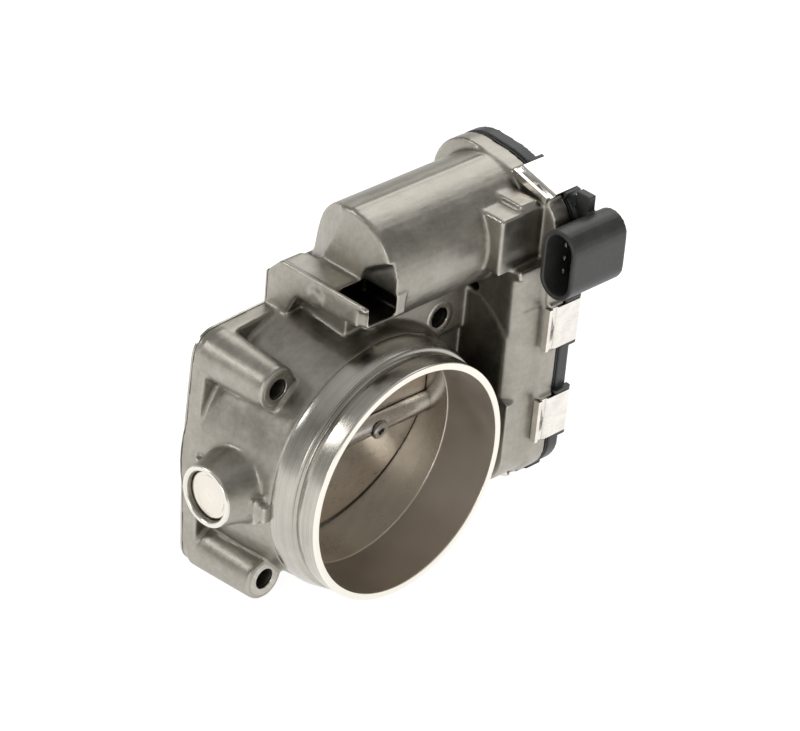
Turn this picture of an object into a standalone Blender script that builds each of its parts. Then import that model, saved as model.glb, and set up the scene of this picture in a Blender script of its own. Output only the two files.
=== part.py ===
"""Electronic throttle body: cast housing, geared motor drive, moulded cover with its connector.

World frame: +X runs along the throttle shaft toward the gear cover, -Y out of the air inlet,
+Z toward the motor.  The origin is the bore axis on the manifold flange face.
"""
from math import acos
from math import atan2
from math import cos
from math import hypot
from math import pi
from math import radians
from math import sin
from math import sqrt
from math import tan

import bmesh
import bpy
from mathutils import Matrix
from mathutils import Vector

MM = 0.001

# ---- fits shared by every pair of pieces ----
GAP = 0.3 * MM                      # air between two pieces that touch
OVERLAP = 0.5 * MM                  # how far a cutter or a joined boss runs into its neighbour
EDGE = 0.5 * MM                     # chamfer on machined edges

# ---- bore tube and inlet spigot ----
BORE_R = 41.0 * MM
ENTRY_R = 41.32 * MM
LIP_R = 44.0 * MM
BODY_LENGTH = 60.0 * MM
BORE_START = 37.2 * MM              # machined bore begins this far in front of the flange face
COLLAR_R = 46.6 * MM
COLLAR_Y = 42.0 * MM
ROOT_R = 49.0 * MM
GROOVE_Y = 51.2 * MM
GROOVE_WIDTH = 1.6 * MM
GROOVE_DEPTH = 0.6 * MM

# ---- manifold flange ----
FLANGE_THICK = 7.0 * MM
FLANGE_HALF = 46.0 * MM
FLANGE_BULGE = 1.5 * MM
FLANGE_CORNER = 9.0 * MM
BOLT_PITCH = 75.0 * MM
BOLT_HOLE_R = 3.7 * MM
BOLT_BOSS_R = 7.9 * MM
BOLT_BOSS_ROOT_R = 9.2 * MM
BOLT_BOSS_FACE = 32.7 * MM          # distance of the bolt seats in front of the flange face

# ---- throttle shaft line ----
SHAFT_Y = -24.3 * MM
SHAFT_R = 5.0 * MM
SHAFT_START = -54.0 * MM
SHAFT_END = 67.5 * MM
PLUG_BOSS_R = 10.93 * MM
PLUG_BOSS_ROOT_R = 13.6 * MM
PLUG_BOSS_X = -59.64 * MM
PLUG_BOSS_ROOT_X = -46.5 * MM
PLUG_RECESS = 3.6 * MM
PLUG_THICK = 1.6 * MM
BEARING_BORE_R = 8.9 * MM
BEARING_LENGTH = 8.0 * MM
SEAL_LENGTH = 1.4 * MM
BEARING_STEP = 44.0 * MM            # shoulder of both bearing bores, either side of the bore axis

# ---- throttle plate ----
PLATE_THICK = 2.5 * MM
PLATE_CLEAR = 0.3 * MM
CLOSED_ANGLE = radians(5.0)         # plate against the bore at the closed stop
REST_ANGLE = radians(11.0)          # limp-home position
OPEN_ANGLE = radians(90.0)
SLOT_END = 41.3 * MM
SCREW_X = 16.5 * MM
SCREW_R = 2.0 * MM
SCREW_HEAD_R = 3.4 * MM
SCREW_HEAD_H = 1.8 * MM
SHAFT_FLAT = 4.2 * MM
DRIVE_R = 1.5 * MM
DRIVE_DEPTH = 1.2 * MM

# ---- motor tube ----
MOTOR_Y = -24.4 * MM
MOTOR_Z = 66.8 * MM
MOTOR_TUBE_R = 21.45 * MM
MOTOR_TUBE_X = -0.8 * MM
MOTOR_BORE_R = 19.3 * MM
MOTOR_BORE_X = 6.0 * MM
RIDGE_WIDTH = 1.2 * MM
RIDGE_HEIGHT = 0.5 * MM
RIDGE_END_X = 61.0 * MM
SADDLE_Y0 = -33.0 * MM
SADDLE_Y1 = -5.0 * MM
SADDLE_Z0 = 30.0 * MM
SADDLE_Z1 = 58.0 * MM
WEB_Y0 = -31.6 * MM
WEB_Y1 = -6.0 * MM
WEB_Z0 = 15.0 * MM

# ---- shelf below the closed end of the motor tube ----
SHELF_X = -14.0 * MM
SHELF_FRONT = -46.5 * MM
SHELF_TOP = 65.3 * MM
SHELF_BOTTOM = 55.5 * MM
RIB_HEIGHT = 0.7 * MM
RIB_WIDTH = 1.0 * MM
POCKET_X0 = -11.5 * MM
POCKET_X1 = 1.4 * MM
POCKET_Y = -31.0 * MM
POCKET_Z0 = 58.0 * MM
POCKET_Z1 = 73.0 * MM
STUD_Y = -24.0 * MM
STUD_Z = 59.6 * MM
STUD_R = 3.4 * MM

# ---- gear case outline: hull of three arcs in the Y-Z plane ----
CASE_R = 33.0 * MM                  # about the throttle shaft
CASE_TOP_R = 22.1 * MM              # about the motor
CASE_CREST_R = 17.2 * MM            # behind the motor
CASE_CREST_Y = -16.5 * MM
CASE_CREST_Z = 72.3 * MM
CASE_HEEL_R = 13.5 * MM
CASE_HEEL_Y = -44.0 * MM
CASE_HEEL_Z = -14.0 * MM
CASE_NOSE_R = 11.2 * MM
CASE_NOSE_Y = -47.0 * MM
CASE_NOSE_Z = 72.0 * MM
CASE_WALL = 2.4 * MM
CASE_X = 63.5 * MM                  # back of the wide rim band
CASE_RIM_X = 71.0 * MM
TUB_X = 50.0 * MM                   # back wall of the deep lower part
TUB_INSET = 1.2 * MM
TUB_SHOULDER_Y = -28.3 * MM
TUB_SHOULDER_Z = 18.4 * MM
TUB_SHOULDER_R = 27.8 * MM
BRACKET_X0 = 44.0 * MM
BRACKET_X1 = 65.0 * MM
BRACKET_Y0 = -51.3 * MM
BRACKET_Y1 = -38.0 * MM
BRACKET_Z0 = 59.5 * MM
BRACKET_Z1 = 80.6 * MM
BRACKET_STEP_X = 53.5 * MM
BRACKET_STEP_Y = -50.3 * MM
BRACKET_STEP_Z = 82.9 * MM
SIDE_PAD_Z0 = 8.0 * MM
SIDE_PAD_Z1 = 44.0 * MM

# ---- moulded cover ----
COVER_X = 78.6 * MM
COVER_RIM_X = 77.3 * MM
COVER_WALL = 2.5 * MM
COVER_STEP = 1.3 * MM
DOME_R = 12.0 * MM
DOME_HEIGHT = 2.5 * MM
SEAL_WIDTH = 1.6 * MM
SEAL_HEIGHT = 0.8 * MM
SOCKET_Y = -66.6 * MM
SOCKET_Z = 67.0 * MM
SOCKET_HALF_Y = 7.3 * MM
SOCKET_HALF_Z = 13.0 * MM
SOCKET_WALL = 1.7 * MM
SOCKET_MOUTH_X = 55.6 * MM
SOCKET_FLOOR_X = 74.0 * MM
SOCKET_END_X = 81.5 * MM
BRIDGE_Z0 = 57.0 * MM
BRIDGE_Z1 = 85.0 * MM
BRIDGE_EAR_Y = -56.6 * MM
PIN_ROWS = 3
PIN_COLUMNS = 2
PIN_PITCH_Z = 5.0 * MM
PIN_PITCH_Y = 4.4 * MM
PIN_WIDTH = 1.5 * MM
PIN_THICK = 0.8 * MM
PIN_START_X = 61.5 * MM
PIN_END_X = 78.0 * MM

# ---- cover clips ----
CLIP_WIDTH = 16.5 * MM
CLIP_THICK = 0.6 * MM
CLIP_HOOK = 1.5 * MM
CLIP_PAD = 1.2 * MM
CLIP_WINDOW = 2.2 * MM
CLIP_FRONT_HIGH_Z = 35.5 * MM
CLIP_FRONT_LOW_Z = -1.2 * MM
CLIP_TOP_FRACTION = 0.27
CLIP_REAR_HIGH_FRACTION = 0.82
CLIP_REAR_LOW_FRACTION = 0.18
CLIP_BASE_FRACTION = 0.6

# ---- gear train ----
SECTOR_MODULE = 1.0 * MM
SECTOR_TEETH = 56
SECTOR_FRONT_TEETH = 2
SECTOR_REAR_TEETH = 13
SMALL_TEETH = 14
FAST_MODULE = 0.8 * MM
LARGE_TEETH = 64
PINION_TEETH = 16
PRESSURE_ANGLE = radians(20.0)
BACKLASH = 0.3 * MM
TIP_FACTOR = 0.95
ROOT_FACTOR = 1.3
FLANK_STEPS = 1
SECTOR_X0 = 61.0 * MM
SECTOR_X1 = 66.0 * MM
SECTOR_HUB_R = 11.0 * MM
SECTOR_HUB_X0 = 60.0 * MM
SECTOR_HUB_X1 = 68.4 * MM
MAGNET_R = 7.0 * MM
MAGNET_X1 = 71.6 * MM
SMALL_X0 = 60.3 * MM
SMALL_X1 = 66.8 * MM
LARGE_X0 = 70.5 * MM
LARGE_X1 = 73.5 * MM
IDLER_HUB_R = 5.6 * MM
IDLER_PIN_R = 2.5 * MM
IDLER_PIN_END_X = 75.4 * MM
IDLER_CLEAR = 0.3 * MM
STOP_RADIUS = 22.0 * MM
STOP_SCREW_R = 2.4 * MM
STOP_HEAD_R = 4.0 * MM
STOP_HEAD_H = 3.0 * MM
STOP_BOSS_R = 5.2 * MM
STOP_BOSS_Z = -31.0 * MM
STOP_LUG_WIDTH = 7.0 * MM
STOP_LUG_HEIGHT = 6.0 * MM

# ---- return spring ----
SPRING_R = 14.5 * MM
SPRING_WIRE_R = 0.8 * MM
SPRING_TURNS = 2.25
SPRING_X0 = 54.4 * MM
SPRING_X1 = 58.6 * MM

# ---- motor ----
CAN_R = 18.9 * MM
CAN_WALL = 1.5 * MM
CAN_X0 = 8.6 * MM
CAN_X1 = 60.0 * MM
MAGNET_SEG_THICK = 3.6 * MM
MAGNET_SEG_X0 = 16.0 * MM
MAGNET_SEG_X1 = 50.0 * MM
MAGNET_SEG_HALF = radians(62.0)
ARMATURE_R = 12.6 * MM
ARMATURE_X0 = 18.0 * MM
ARMATURE_X1 = 48.0 * MM
COMMUTATOR_R = 6.0 * MM
COMMUTATOR_X1 = 57.0 * MM
ROTOR_SHAFT_R = 1.6 * MM
ROTOR_X0 = 11.0 * MM
ROTOR_X1 = 74.3 * MM
PINION_X0 = 69.4 * MM
PINION_X1 = 74.1 * MM
BELL_HUB_R = 6.5 * MM
BELL_PLATE_X0 = 66.2 * MM
BELL_PLATE_X1 = 67.5 * MM
BELL_PLATE_R = 19.3 * MM
EAR_R = 4.3 * MM
EAR_RADIUS = 22.7 * MM
EAR_ANGLE_1 = radians(74.0)
EAR_ANGLE_2 = radians(-132.0)
MOTOR_SCREW_R = 1.7 * MM
MOTOR_SCREW_HEAD_R = 3.2 * MM
MOTOR_SCREW_HEAD_H = 2.0 * MM
MOTOR_SCREW_LENGTH = 9.0 * MM
WASHER_R = 12.0 * MM
WASHER_INNER_R = 8.0 * MM
WASHER_THICK = 0.6 * MM
WASHER_WAVE = 0.5 * MM
TERMINAL_WIDTH = 4.0 * MM
TERMINAL_THICK = 0.8 * MM
TERMINAL_X1 = 75.2 * MM
TERMINAL_OFFSET = 13.5 * MM
TERMINAL_ANGLE_1 = radians(20.0)
TERMINAL_ANGLE_2 = radians(-20.0)
SENSOR_HALF_Y = 10.0 * MM
SENSOR_HALF_Z = 8.0 * MM
SENSOR_X0 = 72.6 * MM

# ---- facets ----
FINE = 64
CASE_FACETS = 48
ROUND = 48
MEDIUM = 32
SMALL = 20
TINY = 12
FACET_PHASE = 0.37                  # facets start off the axes so that seams never line up

COVER_INNER_X = COVER_X - COVER_WALL
COVER_START_X = CASE_RIM_X + SEAL_HEIGHT + 2 * GAP
TUB_FLOOR_X = TUB_X + CASE_WALL
CASE_FLOOR_X = CASE_X + CASE_WALL
BOLT_HALF = BOLT_PITCH / 2
SECTOR_R = SECTOR_MODULE * SECTOR_TEETH / 2
SMALL_R = SECTOR_MODULE * SMALL_TEETH / 2
LARGE_R = FAST_MODULE * LARGE_TEETH / 2
PINION_R = FAST_MODULE * PINION_TEETH / 2
TOOTH_PITCH = 2 * pi / SECTOR_TEETH


def idler_centre():
    """Axis of the intermediate gear: both centre distances meet in front of the shaft plane."""
    reach_low = SECTOR_R + SMALL_R
    reach_high = LARGE_R + PINION_R
    run_y = MOTOR_Y - SHAFT_Y
    run_z = MOTOR_Z
    span = hypot(run_y, run_z)
    along = (reach_low ** 2 - reach_high ** 2 + span ** 2) / (2 * span)
    off = sqrt(reach_low ** 2 - along ** 2)
    unit_y = run_y / span
    unit_z = run_z / span
    return (SHAFT_Y + unit_y * along - unit_z * off, unit_z * along + unit_y * off)


IDLER_Y, IDLER_Z = idler_centre()
MESH_LOW = atan2(SHAFT_Y - IDLER_Y, IDLER_Z)
MESH_HIGH = atan2(IDLER_Y - MOTOR_Y, MOTOR_Z - IDLER_Z)


# ---------------------------------------------------------------- building blocks
def material(name, colour, metallic, roughness):
    """Plain material of one piece."""
    mat = bpy.data.materials.new(name)
    mat.use_nodes = True
    shader = mat.node_tree.nodes["Principled BSDF"]
    shader.inputs["Base Color"].default_value = (*colour, 1.0)
    shader.inputs["Metallic"].default_value = metallic
    shader.inputs["Roughness"].default_value = roughness
    mat.diffuse_color = (*colour, 1.0)
    return mat


ALUMINIUM = ((0.62, 0.60, 0.57), 0.9, 0.45)
STEEL = ((0.68, 0.68, 0.67), 1.0, 0.28)
DARK_STEEL = ((0.34, 0.34, 0.35), 1.0, 0.4)
BLACK = ((0.035, 0.036, 0.037), 0.0, 0.5)
RUBBER = ((0.03, 0.03, 0.03), 0.0, 0.75)
NYLON = ((0.72, 0.70, 0.62), 0.0, 0.5)
COPPER = ((0.72, 0.42, 0.26), 1.0, 0.35)
TIN = ((0.75, 0.73, 0.68), 1.0, 0.3)
FERRITE = ((0.12, 0.12, 0.125), 0.3, 0.6)
BRASS = ((0.72, 0.57, 0.30), 1.0, 0.35)


def make(name, bm, finish=None, parent=None):
    """Turn a bmesh into an object of the scene."""
    bmesh.ops.remove_doubles(bm, verts=bm.verts, dist=1e-7)
    bmesh.ops.recalc_face_normals(bm, faces=bm.faces)
    mesh = bpy.data.meshes.new(name)
    bm.to_mesh(mesh)
    bm.free()
    obj = bpy.data.objects.new(name, mesh)
    bpy.context.scene.collection.objects.link(obj)
    if finish:
        mesh.materials.append(material(name, *finish))
    if parent:
        obj.parent = parent
    return obj


def hide(obj):
    """Mark an object as a cutter or a joined blank that is not a piece itself."""
    obj.hide_render = True
    obj.display_type = "WIRE"
    return obj


def smooth(obj, angle=radians(28.0)):
    """Shade round faces smooth and keep real edges sharp."""
    mesh = obj.data
    mesh.shade_smooth()
    mesh.set_sharp_from_angle(angle=angle)
    return obj


def combine(target, other, operation):
    """Join or cut with an exact boolean."""
    mod = target.modifiers.new(other.name, "BOOLEAN")
    mod.operation = operation
    mod.solver = "EXACT"
    mod.object = hide(other)
    return target


def prism(bm, outline, start, end, axis):
    """Closed prism: the outline holds points across the axis, swept from start to end.

    For axis X the outline is (y, z), for axis Y it is (x, z), for axis Z it is (x, y).
    """
    place = {
        "X": lambda u, v, w: (w, u, v),
        "Y": lambda u, v, w: (u, w, v),
        "Z": lambda u, v, w: (u, v, w),
    }[axis]
    low = [bm.verts.new(place(u, v, start)) for u, v in outline]
    face = bm.faces.new(low)
    swept = bmesh.ops.extrude_face_region(bm, geom=[face])
    verts = [item for item in swept["geom"] if isinstance(item, bmesh.types.BMVert)]
    shift = Vector(place(0.0, 0.0, end - start))
    bmesh.ops.translate(bm, verts=verts, vec=shift)
    return bm


def lathe(bm, profile, axis, centre, count):
    """Solid of revolution of (radius, height) points about an axis through the centre."""
    place = {
        "X": lambda u, v, w: (centre[0] + w, centre[1] + u, centre[2] + v),
        "Y": lambda u, v, w: (centre[0] + u, centre[1] + w, centre[2] + v),
        "Z": lambda u, v, w: (centre[0] + u, centre[1] + v, centre[2] + w),
    }[axis]
    rings = []
    for radius, height in profile:
        if radius <= 0.0:
            rings.append([bm.verts.new(place(0.0, 0.0, height))])
            continue
        ring = []
        for step in range(count):
            turn = 2 * pi * (step + FACET_PHASE) / count
            ring.append(bm.verts.new(place(radius * cos(turn), radius * sin(turn), height)))
        rings.append(ring)
    pairs = list(zip(rings, rings[1:]))
    closed = profile[0][0] > 0.0 and profile[-1][0] > 0.0
    if closed:
        pairs.append((rings[-1], rings[0]))
    for one, two in pairs:
        for step in range(count):
            after = (step + 1) % count
            if len(one) == 1:
                bm.faces.new((one[0], two[after], two[step]))
            elif len(two) == 1:
                bm.faces.new((one[step], one[after], two[0]))
            else:
                bm.faces.new((one[step], one[after], two[after], two[step]))
    return bm


def box(bm, low, high):
    """Axis-aligned block."""
    outline = [(low[0], low[1]), (high[0], low[1]), (high[0], high[1]), (low[0], high[1])]
    return prism(bm, outline, low[2], high[2], "Z")


def box_object(name, low, high, finish=None, parent=None):
    """Block as an object."""
    return make(name, box(bmesh.new(), low, high), finish, parent)


def rod(name, radius, start, end, axis, centre, count, finish=None, parent=None, edge=0.0):
    """Round bar along an axis, with an optional chamfer at both ends."""
    profile = [(0.0, start), (radius - edge, start)]
    if edge > 0.0:
        profile.append((radius, start + edge))
        profile.append((radius, end - edge))
    profile.append((radius - edge, end))
    profile.append((0.0, end))
    if edge == 0.0:
        profile = [(0.0, start), (radius, start), (radius, end), (0.0, end)]
    return make(name, lathe(bmesh.new(), profile, axis, centre, count), finish, parent)


def sleeve(name, inner, outer, start, end, axis, centre, count, finish=None, parent=None):
    """Plain ring."""
    profile = [(inner, start), (outer, start), (outer, end), (inner, end)]
    return make(name, lathe(bmesh.new(), profile, axis, centre, count), finish, parent)


def arc_points(centre, radius, first, last, count):
    """Points of an arc in (u, v), angles measured from +u toward +v."""
    points = []
    for step in range(count + 1):
        turn = first + (last - first) * step / count
        points.append((centre[0] + radius * cos(turn), centre[1] + radius * sin(turn)))
    return points


def hull(circles, count):
    """Convex outline round a set of circles given as (u, v, radius)."""
    cloud = []
    for cu, cv, radius in circles:
        for step in range(count):
            turn = 2 * pi * step / count
            cloud.append((cu + radius * cos(turn), cv + radius * sin(turn)))
    cloud = sorted(set(cloud))

    def side(points):
        chain = []
        for point in points:
            while len(chain) > 1:
                au = chain[-1][0] - chain[-2][0]
                av = chain[-1][1] - chain[-2][1]
                bu = point[0] - chain[-2][0]
                bv = point[1] - chain[-2][1]
                if au * bv - av * bu > 1e-12:
                    break
                chain.pop()
            chain.append(point)
        return chain[:-1]

    return side(cloud) + side(cloud[::-1])


def case_circles(inset):
    """Arcs of the gear case outline, drawn in by an inset."""
    return [
        (SHAFT_Y, 0.0, CASE_R - inset),
        (CASE_HEEL_Y, CASE_HEEL_Z, CASE_HEEL_R - inset),
        (CASE_CREST_Y, CASE_CREST_Z, CASE_CREST_R - inset),
        (MOTOR_Y, MOTOR_Z, CASE_TOP_R - inset),
        (CASE_NOSE_Y, CASE_NOSE_Z, CASE_NOSE_R - inset),
    ]


def tub_circles(inset):
    """Arcs of the deep lower part of the gear case."""
    return [
        (SHAFT_Y, 0.0, CASE_R - TUB_INSET - inset),
        (CASE_HEEL_Y, CASE_HEEL_Z, CASE_HEEL_R - TUB_INSET - inset),
        (TUB_SHOULDER_Y, TUB_SHOULDER_Z, TUB_SHOULDER_R - inset),
    ]


def swing(centre_y, centre_z, radius, turn):
    """Point at a radius from an X axis; the turn is measured from +Z toward -Y."""
    return (centre_y - radius * sin(turn), centre_z + radius * cos(turn))


def involute(angle):
    """Involute function."""
    return tan(angle) - angle


def tooth(module, teeth, centre_turn):
    """One external tooth as (radius, turn) points from one root corner to the other."""
    pitch = module * teeth / 2
    base = pitch * cos(PRESSURE_ANGLE)
    tip = pitch + TIP_FACTOR * module
    root = pitch - ROOT_FACTOR * module
    half = (pi * module - BACKLASH) / (4 * pitch) - BACKLASH / (4 * pitch)
    half = half + involute(PRESSURE_ANGLE)
    flank = []
    start = max(base, root) + 0.02 * module
    if root < start:
        flank.append((root, half - involute(acos(min(1.0, base / start)))))
    steps = FLANK_STEPS
    for step in range(steps + 1):
        radius = start + (tip - start) * step / steps
        flank.append((radius, half - involute(acos(min(1.0, base / radius)))))
    rise = [(radius, centre_turn - turn) for radius, turn in flank]
    fall = [(radius, centre_turn + turn) for radius, turn in reversed(flank)]
    return rise + fall


def gear_outline(module, teeth, first_turn, centre):
    """Full toothed outline in (y, z)."""
    outline = []
    for index in range(teeth):
        for radius, turn in tooth(module, teeth, first_turn + 2 * pi * index / teeth):
            outline.append(swing(centre[0], centre[1], radius, turn))
    return outline


# ---------------------------------------------------------------- housing
def flange_outline():
    """Four bulged sides joined by round corners, in (x, z)."""
    outline = []
    reach = FLANGE_HALF - FLANGE_CORNER
    sides = 6
    for quarter in range(4):
        turn = quarter * pi / 2
        corner = arc_points((reach, reach), FLANGE_CORNER, 0.0, pi / 2, 6)
        bulge = []
        for step in range(1, sides):
            along = reach * (1 - 2 * step / sides)
            out = FLANGE_HALF + FLANGE_BULGE * cos(pi / 2 * along / reach)
            bulge.append((along, out))
        for u, v in corner + bulge:
            outline.append((u * cos(turn) - v * sin(turn), u * sin(turn) + v * cos(turn)))
    return outline


def spigot_profile():
    """Outer turned profile of the bore tube, radius against y."""
    groove_in = GROOVE_Y + GROOVE_WIDTH / 2
    groove_out = GROOVE_Y - GROOVE_WIDTH / 2
    return [
        (0.0, -OVERLAP),
        (ROOT_R, -OVERLAP),
        (ROOT_R - EDGE, -COLLAR_Y / 2),
        (COLLAR_R, -COLLAR_Y + EDGE),
        (COLLAR_R - EDGE, -COLLAR_Y),
        (LIP_R + EDGE, -COLLAR_Y - 2 * EDGE),
        (LIP_R, -groove_out),
        (LIP_R - GROOVE_DEPTH, -groove_out - GROOVE_DEPTH / 2),
        (LIP_R - GROOVE_DEPTH, -groove_in + GROOVE_DEPTH / 2),
        (LIP_R, -groove_in),
        (LIP_R, -BODY_LENGTH + EDGE),
        (LIP_R - EDGE, -BODY_LENGTH),
        (0.0, -BODY_LENGTH),
    ]


def bore_cutter():
    """Cast entry, step and machined bore."""
    profile = [
        (0.0, OVERLAP),
        (BORE_R, OVERLAP),
        (BORE_R, -BORE_START + GAP),
        (ENTRY_R - GAP / 4, -BORE_START - GAP),
        (ENTRY_R, -BODY_LENGTH + EDGE),
        (ENTRY_R + 2 * EDGE, -BODY_LENGTH - EDGE),
        (0.0, -BODY_LENGTH - EDGE),
    ]
    return make("bore_cutter", lathe(bmesh.new(), profile, "Y", (0.0, 0.0, 0.0), FINE))


def joined_blocks(clips):
    """Blanks that are joined to the bore tube to make the casting."""
    blanks = []
    flange = prism(bmesh.new(), flange_outline(), -FLANGE_THICK, 0.0, "Y")
    blanks.append(make("flange_blank", flange))
    for index, (side_x, side_z) in enumerate(((-1, 1), (-1, -1), (1, 1), (1, -1))):
        centre = (side_x * BOLT_HALF, 0.0, side_z * BOLT_HALF)
        profile = [
            (0.0, -FLANGE_THICK / 2),
            (BOLT_BOSS_ROOT_R, -FLANGE_THICK / 2),
            (BOLT_BOSS_R, -BOLT_BOSS_FACE + EDGE),
            (BOLT_BOSS_R - EDGE, -BOLT_BOSS_FACE),
            (0.0, -BOLT_BOSS_FACE),
        ]
        blanks.append(make(f"bolt_boss_blank_{index}", lathe(bmesh.new(), profile, "Y", centre, MEDIUM)))
    plug_profile = [
        (0.0, PLUG_BOSS_X),
        (PLUG_BOSS_R - EDGE, PLUG_BOSS_X),
        (PLUG_BOSS_R, PLUG_BOSS_X + EDGE),
        (PLUG_BOSS_ROOT_R, PLUG_BOSS_ROOT_X),
        (PLUG_BOSS_ROOT_R + 2 * MM, -BORE_R - MM),
        (0.0, -BORE_R - MM),
    ]
    centre = (0.0, SHAFT_Y, 0.0)
    blanks.append(make("plug_boss_blank", lathe(bmesh.new(), plug_profile, "X", centre, ROUND)))
    blanks.append(rod("gear_side_boss_blank", PLUG_BOSS_ROOT_R, BORE_R + MM, TUB_FLOOR_X + OVERLAP, "X",
                      centre, MEDIUM))
    motor = (0.0, MOTOR_Y, MOTOR_Z)
    blanks.append(rod("motor_tube_blank", MOTOR_TUBE_R, MOTOR_TUBE_X, CASE_X + MM, "X", motor, ROUND, edge=2 * EDGE))
    blanks.append(box_object("ridge_blank",
                             (MOTOR_TUBE_X + MM, MOTOR_Y - RIDGE_WIDTH / 2, MOTOR_Z + MOTOR_TUBE_R - MM),
                             (RIDGE_END_X, MOTOR_Y + RIDGE_WIDTH / 2, MOTOR_Z + MOTOR_TUBE_R + RIDGE_HEIGHT)))
    blanks.append(box_object("seat_web_blank", (BOLT_HALF - MM, WEB_Y0, WEB_Z0),
                             (TUB_X + OVERLAP, WEB_Y1, SADDLE_Z0 + MM)))
    blanks.append(box_object("saddle_blank", (SHELF_X + 6 * MM, SADDLE_Y0, SADDLE_Z0),
                             (TUB_X + OVERLAP, SADDLE_Y1, SADDLE_Z1)))
    shelf = [
        (SHELF_FRONT, SHELF_BOTTOM + 2 * MM),
        (SHELF_FRONT, SHELF_TOP),
        (-6.0 * MM, SHELF_TOP),
        (-0.2 * MM, SHELF_TOP - 6.0 * MM),
        (-0.2 * MM, FLANGE_HALF - 4 * MM),
        (-FLANGE_THICK, FLANGE_HALF - 6 * MM),
        (-FLANGE_THICK - 8 * MM, SHELF_BOTTOM),
    ]
    blanks.append(make("shelf_blank", prism(bmesh.new(), shelf, SHELF_X, MOTOR_BORE_X - EDGE, "X")))
    blanks.append(box_object("shelf_rib_blank", (SHELF_X + RIB_WIDTH / 4, SHELF_FRONT + MM, SHELF_TOP - MM),
                             (SHELF_X + RIB_WIDTH, -7.0 * MM, SHELF_TOP + RIB_HEIGHT)))
    blanks.append(rod("stud_blank", STUD_R, SHELF_X - 2 * EDGE, SHELF_X + 4 * MM, "X", (0.0, STUD_Y, STUD_Z),
                      SMALL, edge=EDGE / 2))
    band = prism(bmesh.new(), hull(case_circles(0.0), CASE_FACETS), CASE_X, CASE_RIM_X, "X")
    blanks.append(make("case_band_blank", band))
    tub = prism(bmesh.new(), hull(tub_circles(0.0), CASE_FACETS), TUB_X, CASE_X + MM, "X")
    blanks.append(make("case_tub_blank", tub))
    blanks.append(box_object("bracket_blank", (BRACKET_X0, BRACKET_Y0, BRACKET_Z0),
                             (BRACKET_X1, BRACKET_Y1, BRACKET_Z1)))
    blanks.append(box_object("bracket_step_blank", (BRACKET_STEP_X, BRACKET_STEP_Y, BRACKET_Z0 + 2 * MM),
                             (CASE_X - 1.6 * MM, BRACKET_Y1 - EDGE, BRACKET_STEP_Z)))
    column_front = SHAFT_Y - CASE_R + TUB_INSET
    blanks.append(box_object("column_blank", (TUB_X + EDGE, column_front + EDGE, TUB_SHOULDER_Z),
                             (CASE_X + MM, BRACKET_Y1 + MM, BRACKET_Z0 + MM)))
    blanks.append(box_object("side_pad_blank", (TUB_X + 2 * MM, column_front - EDGE / 4, SIDE_PAD_Z0),
                             (CASE_X + MM, column_front + 3 * MM, SIDE_PAD_Z1)))
    ear_y, ear_z = swing(MOTOR_Y, MOTOR_Z, EAR_RADIUS, EAR_ANGLE_2)
    blanks.append(rod("ear_boss_blank", EAR_R + MM, CASE_X - 9 * MM, CASE_X + MM, "X", (0.0, ear_y, ear_z), SMALL))
    stop_y = SHAFT_Y + STOP_RADIUS
    stop_x = (SECTOR_X0 + SECTOR_X1) / 2
    blanks.append(rod("stop_boss_blank", STOP_BOSS_R, STOP_BOSS_Z, -CASE_R / 2, "Z", (stop_x, stop_y, 0.0), SMALL))
    for index, seat in enumerate(clips):
        blanks.append(seat.pad(f"clip_pad_blank_{index}", CASE_X, CASE_RIM_X))
    return blanks


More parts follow.
